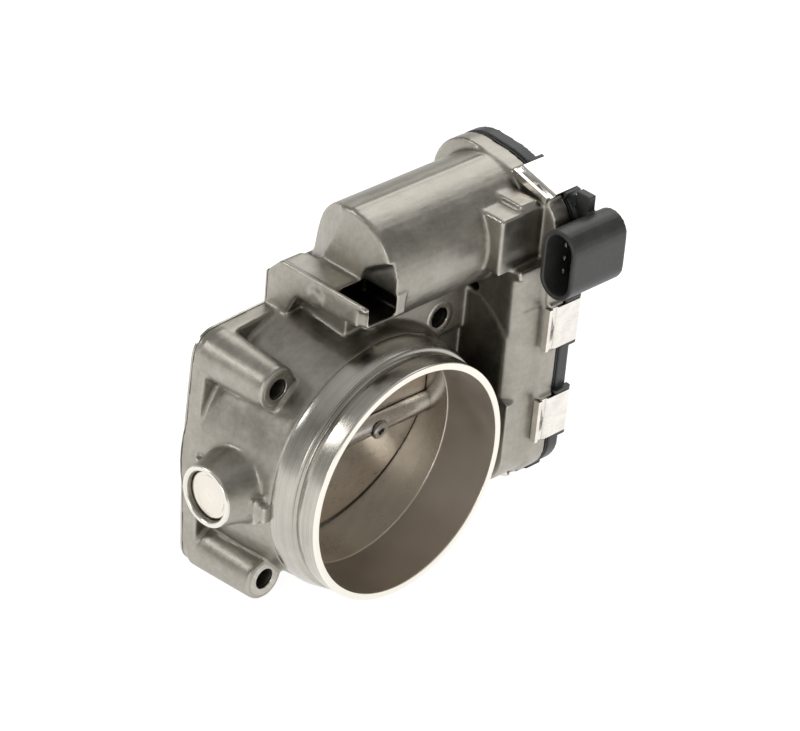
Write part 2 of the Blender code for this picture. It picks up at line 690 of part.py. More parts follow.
def case_cavities():
    """Hollows for the gears, the motor and the shaft."""
    cutters = []
    band = prism(bmesh.new(), hull(case_circles(CASE_WALL), CASE_FACETS), CASE_FLOOR_X, CASE_RIM_X + MM, "X")
    cutters.append(make("case_band_cutter", band))
    tub = prism(bmesh.new(), hull(tub_circles(CASE_WALL), CASE_FACETS), TUB_FLOOR_X, CASE_FLOOR_X + MM, "X")
    cutters.append(make("case_tub_cutter", tub))
    motor = (0.0, MOTOR_Y, MOTOR_Z)
    cutters.append(rod("motor_bore_cutter", MOTOR_BORE_R, MOTOR_BORE_X, CASE_FLOOR_X + MM, "X", motor, ROUND))
    shaft = (0.0, SHAFT_Y, 0.0)
    line = [
        (0.0, PLUG_BOSS_X - MM),
        (BEARING_BORE_R, PLUG_BOSS_X - MM),
        (BEARING_BORE_R, -BEARING_STEP),
        (SHAFT_R + GAP, -BEARING_STEP),
        (SHAFT_R + GAP, BEARING_STEP),
        (BEARING_BORE_R, BEARING_STEP),
        (BEARING_BORE_R, TUB_FLOOR_X + 2 * MM),
        (0.0, TUB_FLOOR_X + 2 * MM),
    ]
    cutters.append(make("shaft_line_cutter", lathe(bmesh.new(), line, "X", shaft, MEDIUM)))
    pocket = [
        (SHELF_FRONT - 8 * MM, POCKET_Z0),
        (SHELF_FRONT - 8 * MM, POCKET_Z1 + 3 * MM),
        (SHELF_FRONT + 4 * MM, POCKET_Z1 + 3 * MM),
        (POCKET_Y - 2 * MM, POCKET_Z1 - 3 * MM),
        (POCKET_Y, POCKET_Z1 - 8 * MM),
        (POCKET_Y, POCKET_Z0 + 4 * MM),
        (POCKET_Y - 3 * MM, POCKET_Z0),
    ]
    cutters.append(make("shelf_pocket_cutter", prism(bmesh.new(), pocket, POCKET_X0, POCKET_X1, "X")))
    for index, (side_x, side_z) in enumerate(((-1, 1), (-1, -1), (1, 1), (1, -1))):
        centre = (side_x * BOLT_HALF, 0.0, side_z * BOLT_HALF)
        profile = [
            (0.0, MM),
            (BOLT_HOLE_R, MM),
            (BOLT_HOLE_R, -BOLT_BOSS_FACE + EDGE),
            (BOLT_HOLE_R + 3 * EDGE, -BOLT_BOSS_FACE - MM),
            (0.0, -BOLT_BOSS_FACE - MM),
        ]
        cutters.append(make(f"bolt_hole_cutter_{index}", lathe(bmesh.new(), profile, "Y", centre, SMALL)))
    for index, turn in enumerate((EAR_ANGLE_1, EAR_ANGLE_2)):
        ear_y, ear_z = swing(MOTOR_Y, MOTOR_Z, EAR_RADIUS, turn)
        start = BELL_PLATE_X1 - MOTOR_SCREW_LENGTH - MM
        cutters.append(rod(f"motor_screw_hole_{index}", MOTOR_SCREW_R + GAP, start, CASE_FLOOR_X + MM, "X",
                           (0.0, ear_y, ear_z), TINY))
    stop_x = (SECTOR_X0 + SECTOR_X1) / 2
    stop_y = SHAFT_Y + STOP_RADIUS
    cutters.append(rod("stop_hole_cutter", STOP_SCREW_R + GAP, STOP_BOSS_Z - MM, -STOP_RADIUS / 2, "Z",
                       (stop_x, stop_y, 0.0), TINY))
    cutters.append(rod("idler_pin_hole", IDLER_PIN_R + GAP, TUB_FLOOR_X + EDGE, TUB_FLOOR_X + 5 * MM, "X",
                       (0.0, IDLER_Y, IDLER_Z), SMALL))
    return cutters


def inner_lugs():
    """Cast features that stand inside the gear case."""
    lugs = []
    lugs.append(rod("idler_pin_boss", IDLER_PIN_R + 3 * MM, TUB_X + MM, TUB_FLOOR_X + 5 * MM - OVERLAP, "X",
                    (0.0, IDLER_Y, IDLER_Z), SMALL))
    front = open_front_edge()
    lug_top = swing(SHAFT_Y, 0.0, SECTOR_R, front)[1] - 2 * GAP
    wall_y = SHAFT_Y - CASE_R + TUB_INSET + CASE_WALL / 2
    lugs.append(box_object("open_stop_lug", (TUB_X + MM, wall_y, lug_top - STOP_LUG_HEIGHT),
                           (SECTOR_X1, wall_y + STOP_LUG_WIDTH, lug_top)))
    return lugs


def rest_rear_edge():
    """Turn of the sector's rear edge in the limp-home position."""
    return MESH_LOW - (SECTOR_REAR_TEETH + 0.62) * TOOTH_PITCH


def rest_front_edge():
    """Turn of the sector's front edge in the limp-home position."""
    return MESH_LOW + (SECTOR_FRONT_TEETH + 0.62) * TOOTH_PITCH


def open_front_edge():
    """Turn of the sector's front edge with the plate fully open."""
    return rest_front_edge() + OPEN_ANGLE - REST_ANGLE


def closed_rear_edge():
    """Turn of the sector's rear edge with the plate closed."""
    return rest_rear_edge() + CLOSED_ANGLE - REST_ANGLE


def build_housing(clips):
    """The casting: bore tube, flange, bosses, motor tube and gear case in one piece."""
    bm = lathe(bmesh.new(), spigot_profile(), "Y", (0.0, 0.0, 0.0), FINE)
    housing = make("housing", bm, ALUMINIUM)
    for blank in joined_blocks(clips):
        combine(housing, blank, "UNION")
    cavities = case_cavities()
    combine(housing, bore_cutter(), "DIFFERENCE")
    for cutter in cavities[:3]:
        combine(housing, cutter, "DIFFERENCE")
    for lug in inner_lugs():
        combine(housing, lug, "UNION")
    for cutter in cavities[3:]:
        combine(housing, cutter, "DIFFERENCE")
    return smooth(housing)


# ---------------------------------------------------------------- cover clips
class ClipSeat:
    """Place of one clip on the case outline: a point, its outward normal, both in (y, z)."""

    def __init__(self, point, normal):
        """Keep the seat point and the unit normal."""
        self.point = point
        self.normal = normal
        self.along = (-normal[1], normal[0])

    def corner(self, along, out):
        """Point at a distance along the outline and out of it."""
        return (
            self.point[0] + self.along[0] * along + self.normal[0] * out,
            self.point[1] + self.along[1] * along + self.normal[1] * out,
        )

    def pad(self, name, start, end):
        """Flat raised seat under the clip."""
        half = CLIP_WIDTH / 2 + MM
        deep = -CASE_WALL / 2
        outline = [self.corner(-half, deep), self.corner(half, deep), self.corner(half, CLIP_PAD),
                   self.corner(-half, CLIP_PAD)]
        return make(name, prism(bmesh.new(), outline, start + EDGE, end - EDGE, "X"))

    def clip(self, name):
        """Bent spring-steel clip that grips the case band and the cover rim."""
        low = CLIP_PAD + GAP
        high = low + CLIP_THICK
        deep = CLIP_PAD - CLIP_HOOK
        back = CASE_X - GAP
        front = COVER_RIM_X + GAP
        side = [
            (back, deep),
            (back, low),
            (front, low),
            (front, deep),
            (front + CLIP_THICK, deep),
            (front + CLIP_THICK, high),
            (back - CLIP_THICK, high),
            (back - CLIP_THICK, deep),
        ]
        bm = bmesh.new()
        half = CLIP_WIDTH / 2
        ring = []
        for along in (-half, half):
            ring.append([bm.verts.new((x, *self.corner(along, out))) for x, out in side])
        bm.faces.new(ring[0])
        bm.faces.new(ring[1][::-1])
        count = len(side)
        for step in range(count):
            after = (step + 1) % count
            bm.faces.new((ring[0][step], ring[1][step], ring[1][after], ring[0][after]))
        clip = make(name, bm, STEEL)
        window = bmesh.new()
        opening = [self.corner(-CLIP_WINDOW / 2, deep), self.corner(CLIP_WINDOW / 2, deep),
                   self.corner(CLIP_WINDOW / 2, high + MM), self.corner(-CLIP_WINDOW / 2, high + MM)]
        prism(window, opening, back + CLIP_THICK, back + CLIP_THICK + CLIP_WINDOW, "X")
        return combine(clip, make(name + "_window", window), "DIFFERENCE")


def tangent(one, two):
    """Outer tangent of two circles (u, v, radius): both touch points and the unit normal."""
    run_u = two[0] - one[0]
    run_v = two[1] - one[1]
    span = hypot(run_u, run_v)
    lean = acos((one[2] - two[2]) / span)
    heading = atan2(run_v, run_u)
    normal = (cos(heading + lean), sin(heading + lean))
    first = (one[0] + normal[0] * one[2], one[1] + normal[1] * one[2])
    second = (two[0] + normal[0] * two[2], two[1] + normal[1] * two[2])
    return first, second, normal


def between(first, second, share):
    """Point part of the way along a line."""
    return (first[0] + (second[0] - first[0]) * share, first[1] + (second[1] - first[1]) * share)


def clip_seats():
    """The six clip places round the outline."""
    low, heel, crest, high, nose = case_circles(0.0)
    front_low, front_high, front_normal = tangent(heel, nose)
    height = front_high[1] - front_low[1]
    rise = (CLIP_FRONT_HIGH_Z - front_low[1]) / height
    lift = (CLIP_FRONT_LOW_Z - front_low[1]) / height
    top_front, top_rear, top_normal = tangent(nose, high)
    rear_high, rear_low, rear_normal = tangent(crest, low)
    base_rear, base_front, base_normal = tangent(low, heel)
    return [
        ClipSeat(between(top_front, top_rear, CLIP_TOP_FRACTION), top_normal),
        ClipSeat(between(front_low, front_high, rise), front_normal),
        ClipSeat(between(front_low, front_high, lift), front_normal),
        ClipSeat(between(base_front, base_rear, CLIP_BASE_FRACTION), base_normal),
        ClipSeat(between(rear_low, rear_high, CLIP_REAR_LOW_FRACTION), rear_normal),
        ClipSeat(between(rear_low, rear_high, CLIP_REAR_HIGH_FRACTION), rear_normal),
    ]


# ---------------------------------------------------------------- cover
def oval(half_y, half_z, count):
    """Oval outline with round ends round the connector axis, in (y, z)."""
    reach = half_z - half_y
    upper = arc_points((SOCKET_Y, SOCKET_Z + reach), half_y, 0.0, pi, count)
    lower = arc_points((SOCKET_Y, SOCKET_Z - reach), half_y, pi, 2 * pi, count)
    return upper + lower


def pin_places():
    """Centres of the connector pins in (y, z)."""
    places = []
    for row in range(PIN_ROWS):
        for column in range(PIN_COLUMNS):
            off_z = (row - (PIN_ROWS - 1) / 2) * PIN_PITCH_Z
            off_y = (column - (PIN_COLUMNS - 1) / 2) * PIN_PITCH_Y
            places.append((SOCKET_Y + off_y, SOCKET_Z + off_z))
    return places


def build_cover(clips):
    """Moulded gear cover with the connector shroud."""
    rim = COVER_START_X
    bm = prism(bmesh.new(), hull(case_circles(0.0), CASE_FACETS), rim, COVER_RIM_X, "X")
    cover = make("gear_cover", bm, BLACK)
    blanks = [make("cover_top_blank", prism(bmesh.new(), hull(case_circles(COVER_STEP), CASE_FACETS),
                                            COVER_RIM_X - EDGE, COVER_X, "X"))]
    for index, seat in enumerate(clips):
        blanks.append(seat.pad(f"cover_pad_blank_{index}", rim, COVER_RIM_X))
    blanks.append(rod("sensor_dome_blank", DOME_R, COVER_X - EDGE, COVER_X + DOME_HEIGHT, "X",
                      (0.0, SHAFT_Y, 0.0), MEDIUM, edge=EDGE))
    blanks.append(rod("motor_dome_blank", DOME_R - 3 * MM, COVER_X - EDGE, COVER_X + DOME_HEIGHT - MM, "X",
                      (0.0, MOTOR_Y, MOTOR_Z), MEDIUM, edge=EDGE))
    blanks.append(make("socket_blank", prism(bmesh.new(), oval(SOCKET_HALF_Y, SOCKET_HALF_Z, 12),
                                             SOCKET_MOUTH_X, SOCKET_END_X, "X")))
    blanks.append(box_object("bridge_blank", (rim + MM, SOCKET_Y, BRIDGE_Z0),
                             (COVER_X - EDGE, CASE_NOSE_Y - MM, SOCKET_Z + SOCKET_HALF_Z - 2 * MM)))
    blanks.append(box_object("bridge_ear_blank", (rim + MM, SOCKET_Y + 4 * MM, SOCKET_Z),
                             (COVER_RIM_X - EDGE, BRIDGE_EAR_Y, BRIDGE_Z1)))
    for blank in blanks:
        combine(cover, blank, "UNION")
    cutters = [make("cover_cutter", prism(bmesh.new(), hull(case_circles(CASE_WALL + GAP), CASE_FACETS),
                                          rim - MM, COVER_INNER_X, "X"))]
    cutters.append(make("socket_cutter", prism(bmesh.new(), oval(SOCKET_HALF_Y - SOCKET_WALL,
                                                                 SOCKET_HALF_Z - SOCKET_WALL, 12),
                                               SOCKET_MOUTH_X - MM, SOCKET_FLOOR_X, "X")))
    for index, (pin_y, pin_z) in enumerate(pin_places()):
        half = (PIN_WIDTH / 2 + GAP, PIN_THICK / 2 + GAP)
        cutters.append(box_object(f"pin_slot_{index}", (SOCKET_FLOOR_X - MM, pin_y - half[1], pin_z - half[0]),
                                  (PIN_END_X + GAP, pin_y + half[1], pin_z + half[0])))
    for cutter in cutters:
        combine(cover, cutter, "DIFFERENCE")
    return smooth(cover)


def build_cover_seal():
    """Flat rubber gasket between the case rim and the cover."""
    start = CASE_RIM_X + GAP
    end = start + SEAL_HEIGHT
    middle = CASE_WALL / 2
    outer = hull(case_circles(middle - SEAL_WIDTH / 2), CASE_FACETS)
    seal = make("cover_seal", prism(bmesh.new(), outer, start, end, "X"), RUBBER)
    inner = hull(case_circles(middle + SEAL_WIDTH / 2), CASE_FACETS)
    cutter = make("seal_cutter", prism(bmesh.new(), inner, start - MM, end + MM, "X"))
    return smooth(combine(seal, cutter, "DIFFERENCE"))


# ---------------------------------------------------------------- throttle
def axis_empty(name, place, turn=0.0):
    """Empty that carries a moving group on its joint axis."""
    empty = bpy.data.objects.new(name, None)
    bpy.context.scene.collection.objects.link(empty)
    empty.location = place
    empty.rotation_euler = (turn, 0.0, 0.0)
    return empty


def plate_blank():
    """Elliptical plate: a slab cut by the closed bore, drawn with its faces across local Y."""
    bm = bmesh.new()
    radius = BORE_R - PLATE_CLEAR
    half = PLATE_THICK / 2
    rings = []
    for height in (-half, half):
        ring = []
        for step in range(FINE):
            turn = 2 * pi * step / FINE
            local_z = (radius * sin(turn) - height * sin(CLOSED_ANGLE)) / cos(CLOSED_ANGLE)
            ring.append(bm.verts.new((radius * cos(turn), height, local_z)))
        rings.append(ring)
    bm.faces.new(rings[0])
    bm.faces.new(rings[1][::-1])
    for step in range(FINE):
        after = (step + 1) % FINE
        bm.faces.new((rings[0][step], rings[1][step], rings[1][after], rings[0][after]))
    return bm


def screw_axes():
    """Local x of both plate screws."""
    return (-SCREW_X, SCREW_X)


def build_plate_screw(name, local_x, parent):
    """Low-head plate screw with a round drive recess."""
    seat = -SHAFT_FLAT - GAP
    tail = SHAFT_R + MM
    profile = [
        (0.0, seat - SCREW_HEAD_H),
        (SCREW_HEAD_R - EDGE, seat - SCREW_HEAD_H),
        (SCREW_HEAD_R, seat - SCREW_HEAD_H + EDGE),
        (SCREW_HEAD_R, seat),
        (SCREW_R, seat),
        (SCREW_R, tail - EDGE),
        (SCREW_R - EDGE, tail),
        (0.0, tail),
    ]
    centre = (local_x, 0.0, 0.0)
    screw = make(name, lathe(bmesh.new(), profile, "Y", centre, SMALL), DARK_STEEL, parent)
    drive = rod(name + "_drive", DRIVE_R, seat - SCREW_HEAD_H - MM, seat - SCREW_HEAD_H + DRIVE_DEPTH, "Y",
                centre, 6, None, parent)
    return smooth(combine(screw, drive, "DIFFERENCE"))


def build_throttle_shaft(parent):
    """Slotted shaft with flats under the plate screws."""
    origin = (0.0, 0.0, 0.0)
    shaft = rod("throttle_shaft", SHAFT_R, SHAFT_START, SHAFT_END, "X", origin, MEDIUM, STEEL, parent, EDGE)
    slot = PLATE_THICK / 2 + GAP
    cutters = [box_object("plate_slot", (-SLOT_END, -slot, -SHAFT_R - MM), (SLOT_END, slot, SHAFT_R + MM), None,
                          parent)]
    for index, local_x in enumerate(screw_axes()):
        cutters.append(rod(f"screw_hole_{index}", SCREW_R + GAP, -SHAFT_R - MM, SHAFT_R + MM, "Y",
                           (local_x, 0.0, 0.0), SMALL, None, parent))
        cutters.append(rod(f"screw_flat_{index}", SCREW_HEAD_R + GAP, -SHAFT_R - MM, -SHAFT_FLAT, "Y",
                           (local_x, 0.0, 0.0), SMALL, None, parent))
    for cutter in cutters:
        combine(shaft, cutter, "DIFFERENCE")
    return smooth(shaft)


def build_throttle_plate(parent):
    """Throttle plate with its two screw holes."""
    plate = make("throttle_plate", plate_blank(), BRASS, parent)
    for index, local_x in enumerate(screw_axes()):
        hole = rod(f"plate_hole_{index}", SCREW_R + GAP, -SHAFT_R, SHAFT_R, "Y", (local_x, 0.0, 0.0), SMALL, None,
                   parent)
        combine(plate, hole, "DIFFERENCE")
    return smooth(plate)


def build_throttle_gear(parent):
    """Moulded sector gear on the shaft end, in its limp-home position."""
    hub = [
        (SHAFT_R + GAP, SECTOR_HUB_X0),
        (SECTOR_HUB_R, SECTOR_HUB_X0),
        (SECTOR_HUB_R, SECTOR_HUB_X1 - EDGE),
        (SECTOR_HUB_R - EDGE, SECTOR_HUB_X1),
        (SHAFT_R + GAP, SECTOR_HUB_X1),
    ]
    gear = make("throttle_gear", lathe(bmesh.new(), hub, "X", (0.0, SHAFT_Y, 0.0), MEDIUM), NYLON)
    outline = []
    for index in range(-SECTOR_REAR_TEETH, SECTOR_FRONT_TEETH + 1):
        for radius, turn in tooth(SECTOR_MODULE, SECTOR_TEETH, MESH_LOW + index * TOOTH_PITCH):
            outline.append(swing(SHAFT_Y, 0.0, radius, turn))
    root = SECTOR_R - ROOT_FACTOR * SECTOR_MODULE
    outline.insert(0, swing(SHAFT_Y, 0.0, root, rest_rear_edge()))
    outline.append(swing(SHAFT_Y, 0.0, root, rest_front_edge()))
    inner = SHAFT_R + 2 * MM
    count = TINY
    for step in range(count + 1):
        turn = rest_front_edge() + (rest_rear_edge() - rest_front_edge()) * step / count
        outline.append(swing(SHAFT_Y, 0.0, inner, turn))
    web = make("sector_blank", prism(bmesh.new(), outline, SECTOR_X0, SECTOR_X1, "X"))
    combine(gear, web, "UNION")
    gear.parent = parent
    gear.matrix_parent_inverse = parent.matrix_world.inverted()
    return smooth(gear)


def build_throttle(parent):
    """Everything that turns with the throttle shaft."""
    build_throttle_shaft(parent)
    build_throttle_plate(parent)
    for index, local_x in enumerate(screw_axes()):
        build_plate_screw(f"plate_screw_{index + 1}", local_x, parent)
    smooth(rod("sensor_magnet", MAGNET_R, SECTOR_HUB_X1 + GAP, MAGNET_X1, "X", (0.0, 0.0, 0.0), MEDIUM, FERRITE,
               parent, EDGE))


def build_shaft_line():
    """Bearings, seals and the end plug in the casting."""
    centre = (0.0, SHAFT_Y, 0.0)
    outer = BEARING_BORE_R - GAP
    inner = SHAFT_R + GAP
    for name, side in (("bearing_plug_side", -1), ("bearing_gear_side", 1)):
        near = side * (BEARING_STEP + SEAL_LENGTH + 2 * GAP)
        far = near + side * BEARING_LENGTH
        smooth(sleeve(name, inner, outer, min(near, far), max(near, far), "X", centre, MEDIUM, STEEL))
    for name, side in (("shaft_seal_plug_side", -1), ("shaft_seal_gear_side", 1)):
        near = side * (BEARING_STEP + GAP)
        far = near + side * SEAL_LENGTH
        smooth(sleeve(name, inner, outer, min(near, far), max(near, far), "X", centre, MEDIUM, RUBBER))
    face = PLUG_BOSS_X + PLUG_RECESS
    cup = [
        (0.0, face),
        (outer - EDGE, face),
        (outer, face - PLUG_THICK),
        (outer, face + PLUG_THICK - EDGE),
        (outer - EDGE, face + PLUG_THICK),
        (0.0, face + PLUG_THICK),
    ]
    smooth(make("end_plug", lathe(bmesh.new(), cup, "X", centre, MEDIUM), STEEL))


def build_return_spring():
    """Torsion spring round the shaft between the case wall and the sector gear."""
    data = bpy.data.curves.new("return_spring", "CURVE")
    data.dimensions = "3D"
    data.bevel_depth = SPRING_WIRE_R
    data.bevel_resolution = 1
    data.use_fill_caps = True
    data.resolution_u = 1
    data.render_resolution_u = 1
    steps = int(SPRING_TURNS * SMALL)
    spline = data.splines.new("POLY")
    spline.points.add(steps)
    for step in range(steps + 1):
        share = step / steps
        turn = -pi / 2 + 2 * pi * SPRING_TURNS * share
        y, z = swing(SHAFT_Y, 0.0, SPRING_R, turn)
        x = SPRING_X0 + (SPRING_X1 - SPRING_X0) * share
        spline.points[step].co = (x, y, z, 1.0)
    spring = bpy.data.objects.new("return_spring", data)
    bpy.context.scene.collection.objects.link(spring)
    data.materials.append(material("return_spring", *STEEL))
    return spring


def build_stop_screw():
    """Closed-stop screw under the rear edge of the sector."""
    stop_x = (SECTOR_X0 + SECTOR_X1) / 2
    stop_y = SHAFT_Y + STOP_RADIUS
    edge_y, edge_z = swing(SHAFT_Y, 0.0, STOP_RADIUS, closed_rear_edge())
    tip = edge_z - 3 * GAP
    head = STOP_BOSS_Z - GAP
    profile = [
        (0.0, head - STOP_HEAD_H),
        (STOP_HEAD_R - EDGE, head - STOP_HEAD_H),
        (STOP_HEAD_R, head - STOP_HEAD_H + EDGE),
        (STOP_HEAD_R, head),
        (STOP_SCREW_R, head),
        (STOP_SCREW_R, tip - EDGE),
        (STOP_SCREW_R - EDGE, tip),
        (0.0, tip),
    ]
    smooth(make("stop_screw", lathe(bmesh.new(), profile, "Z", (stop_x, stop_y, 0.0), TINY), DARK_STEEL))


# ---------------------------------------------------------------- gear train
def build_idler(parent):
    """Intermediate gear: slow wheel and fast wheel on one hub."""
    bore = IDLER_PIN_R + IDLER_CLEAR
    hub = [(bore, SMALL_X0), (IDLER_HUB_R, SMALL_X0), (IDLER_HUB_R, LARGE_X1), (bore, LARGE_X1)]
    bm = lathe(bmesh.new(), hub, "X", (0.0, IDLER_Y, IDLER_Z), SMALL)
    gear = make("intermediate_gear", bm, NYLON)
    low_gap = MESH_LOW + pi + pi / SMALL_TEETH
    small = prism(bmesh.new(), gear_outline(SECTOR_MODULE, SMALL_TEETH, low_gap, (IDLER_Y, IDLER_Z)), SMALL_X0,
                  SMALL_X1, "X")
    turn_high = -MESH_HIGH
    large = prism(bmesh.new(), gear_outline(FAST_MODULE, LARGE_TEETH, turn_high, (IDLER_Y, IDLER_Z)), LARGE_X0,
                  LARGE_X1, "X")
    combine(gear, make("small_wheel_blank", small), "UNION")
    combine(gear, make("large_wheel_blank", large), "UNION")
    combine(gear, rod("idler_bore", bore, SMALL_X0 - MM, LARGE_X1 + MM, "X", (0.0, IDLER_Y, IDLER_Z), SMALL),
            "DIFFERENCE")
    gear.parent = parent
    gear.matrix_parent_inverse = parent.matrix_world.inverted()
    smooth(gear)
    smooth(rod("intermediate_pin", IDLER_PIN_R, TUB_FLOOR_X + EDGE + GAP, IDLER_PIN_END_X, "X",
               (0.0, IDLER_Y, IDLER_Z), SMALL, STEEL, None, EDGE))


def build_motor(parent):
    """Direct-current motor with its end bell, rotor and pinion."""
    centre = (0.0, MOTOR_Y, MOTOR_Z)
    can = [
        (0.0, CAN_X0),
        (CAN_R - 2 * EDGE, CAN_X0),
        (CAN_R, CAN_X0 + 2 * EDGE),
        (CAN_R, CAN_X1),
        (CAN_R - CAN_WALL, CAN_X1),
        (CAN_R - CAN_WALL, CAN_X0 + CAN_WALL),
        (0.0, CAN_X0 + CAN_WALL),
    ]
    smooth(make("motor_can", lathe(bmesh.new(), can, "X", centre, ROUND), STEEL))
    ring_out = CAN_R - CAN_WALL - GAP
    ring_in = ring_out - MAGNET_SEG_THICK
    for index, middle in enumerate((0.0, pi)):
        outer = arc_points((MOTOR_Y, MOTOR_Z), ring_out, middle - MAGNET_SEG_HALF, middle + MAGNET_SEG_HALF, 16)
        inner = arc_points((MOTOR_Y, MOTOR_Z), ring_in, middle + MAGNET_SEG_HALF, middle - MAGNET_SEG_HALF, 16)
        smooth(make(f"motor_magnet_{index + 1}", prism(bmesh.new(), outer + inner, MAGNET_SEG_X0, MAGNET_SEG_X1,
                                                       "X"), FERRITE))
    rotor = [
        (0.0, ROTOR_X0),
        (ROTOR_SHAFT_R, ROTOR_X0),
        (ROTOR_SHAFT_R, ARMATURE_X0),
        (ARMATURE_R, ARMATURE_X0),
        (ARMATURE_R, ARMATURE_X1),
        (COMMUTATOR_R, ARMATURE_X1),
        (COMMUTATOR_R, COMMUTATOR_X1),
        (ROTOR_SHAFT_R, COMMUTATOR_X1),
        (ROTOR_SHAFT_R, ROTOR_X1),
        (0.0, ROTOR_X1),
    ]
    spun = make("motor_rotor", lathe(bmesh.new(), rotor, "X", (0.0, 0.0, 0.0), MEDIUM), DARK_STEEL, parent)
    smooth(spun)
    pinion_gap = pi - MESH_HIGH + pi / PINION_TEETH
    pinion = make("motor_pinion", prism(bmesh.new(), gear_outline(FAST_MODULE, PINION_TEETH, pinion_gap,
                                                                  (0.0, 0.0)), PINION_X0, PINION_X1, "X"),
                  BRASS, parent)
    combine(pinion, rod("pinion_bore", ROTOR_SHAFT_R + GAP, PINION_X0 - MM, PINION_X1 + MM, "X",
                        (0.0, 0.0, 0.0), TINY, None, parent), "DIFFERENCE")
    smooth(pinion)
    build_end_bell()
    build_wave_washer()


def build_end_bell():
    """Plastic brush holder that closes the can and carries the mounting ears."""
    centre = (0.0, MOTOR_Y, MOTOR_Z)
    bore = ROTOR_SHAFT_R + GAP
    shell = [
        (bore, CAN_X1 + GAP),
        (CAN_R, CAN_X1 + GAP),
        (CAN_R, BELL_PLATE_X0),
        (BELL_PLATE_R, BELL_PLATE_X0),
        (BELL_PLATE_R, BELL_PLATE_X1),
        (BELL_HUB_R, BELL_PLATE_X1),
        (BELL_HUB_R, BELL_PLATE_X1 + EDGE),
        (bore, BELL_PLATE_X1 + EDGE),
    ]
    bell = make("motor_end_bell", lathe(bmesh.new(), shell, "X", centre, ROUND), BLACK)
    blanks = []
    holes = []
    inset = EDGE / 4
    for index, turn in enumerate((EAR_ANGLE_1, EAR_ANGLE_2)):
        ear_y, ear_z = swing(MOTOR_Y, MOTOR_Z, EAR_RADIUS, turn)
        blanks.append(rod(f"ear_blank_{index}", EAR_R, BELL_PLATE_X0 + inset, BELL_PLATE_X1 - inset, "X",
                          (0.0, ear_y, ear_z), SMALL))
        holes.append(rod(f"ear_hole_{index}", MOTOR_SCREW_R + GAP, BELL_PLATE_X0 - MM, BELL_PLATE_X1 + MM, "X",
                         (0.0, ear_y, ear_z), TINY))
        build_motor_screw(f"motor_screw_{index + 1}", (0.0, ear_y, ear_z))
    for blank in blanks:
        combine(bell, blank, "UNION")
    for index, turn in enumerate((TERMINAL_ANGLE_1, TERMINAL_ANGLE_2)):
        slot_y, slot_z = swing(MOTOR_Y, MOTOR_Z, TERMINAL_OFFSET, turn)
        half = (TERMINAL_THICK / 2 + GAP, TERMINAL_WIDTH / 2 + GAP)
        start = CAN_X1 + 3 * MM
        holes.append(box_object(f"terminal_slot_{index}", (start, slot_y - half[1], slot_z - half[0]),
                                (BELL_PLATE_X1 + MM, slot_y + half[1], slot_z + half[0])))
        box_object(f"motor_terminal_{index + 1}",
                   (start + GAP, slot_y - TERMINAL_WIDTH / 2, slot_z - TERMINAL_THICK / 2),
                   (TERMINAL_X1, slot_y + TERMINAL_WIDTH / 2, slot_z + TERMINAL_THICK / 2), COPPER)
    for hole in holes:
        combine(bell, hole, "DIFFERENCE")
    smooth(bell)


def build_motor_screw(name, centre):
    """Screw through a motor ear into the casting."""
    seat = BELL_PLATE_X1 + GAP
    profile = [
        (0.0, seat - MOTOR_SCREW_LENGTH),
        (MOTOR_SCREW_R, seat - MOTOR_SCREW_LENGTH),
        (MOTOR_SCREW_R, seat),
        (MOTOR_SCREW_HEAD_R, seat),
        (MOTOR_SCREW_HEAD_R, seat + MOTOR_SCREW_HEAD_H - EDGE),
        (MOTOR_SCREW_HEAD_R - EDGE, seat + MOTOR_SCREW_HEAD_H),
        (0.0, seat + MOTOR_SCREW_HEAD_H),
    ]
    screw = make(name, lathe(bmesh.new(), profile, "X", centre, TINY), STEEL)
    drive = rod(name + "_drive", DRIVE_R, seat + MOTOR_SCREW_HEAD_H - DRIVE_DEPTH, seat + MOTOR_SCREW_HEAD_H + MM,
                "X", centre, 6)
    smooth(combine(screw, drive, "DIFFERENCE"))


def build_wave_washer():
    """Wavy spring washer behind the closed end of the can."""
    bm = bmesh.new()
    count = MEDIUM
    middle = (MOTOR_BORE_X + CAN_X0) / 2
    rings = []
    for radius, side in ((WASHER_INNER_R, -1), (WASHER_R, -1), (WASHER_R, 1), (WASHER_INNER_R, 1)):
        ring = []
        for step in range(count):
            turn = 2 * pi * step / count
            x = middle + side * WASHER_THICK / 2 + WASHER_WAVE * cos(3 * turn)
            ring.append(bm.verts.new((x, MOTOR_Y + radius * cos(turn), MOTOR_Z + radius * sin(turn))))
        rings.append(ring)
    for one, two in zip(rings, rings[1:] + rings[:1]):
        for step in range(count):
            after = (step + 1) % count
            bm.faces.new((one[step], one[after], two[after], two[step]))
    smooth(make("wave_washer", bm, STEEL))


def build_cover_electrics():
    """Position sensor on the inside of the cover and the connector pins."""
    low = (SENSOR_X0, SHAFT_Y - SENSOR_HALF_Y, -SENSOR_HALF_Z)
    high = (COVER_INNER_X - GAP, SHAFT_Y + SENSOR_HALF_Y, SENSOR_HALF_Z)
    box_object("position_sensor", low, high, BLACK)
    for index, (pin_y, pin_z) in enumerate(pin_places()):
        box_object(f"connector_pin_{index + 1}", (PIN_START_X, pin_y - PIN_THICK / 2, pin_z - PIN_WIDTH / 2),
                   (PIN_END_X, pin_y + PIN_THICK / 2, pin_z + PIN_WIDTH / 2), TIN)


def clear_scene():
    """Remove whatever the start file holds."""
    for obj in list(bpy.data.objects):
        bpy.data.objects.remove(obj, do_unlink=True)


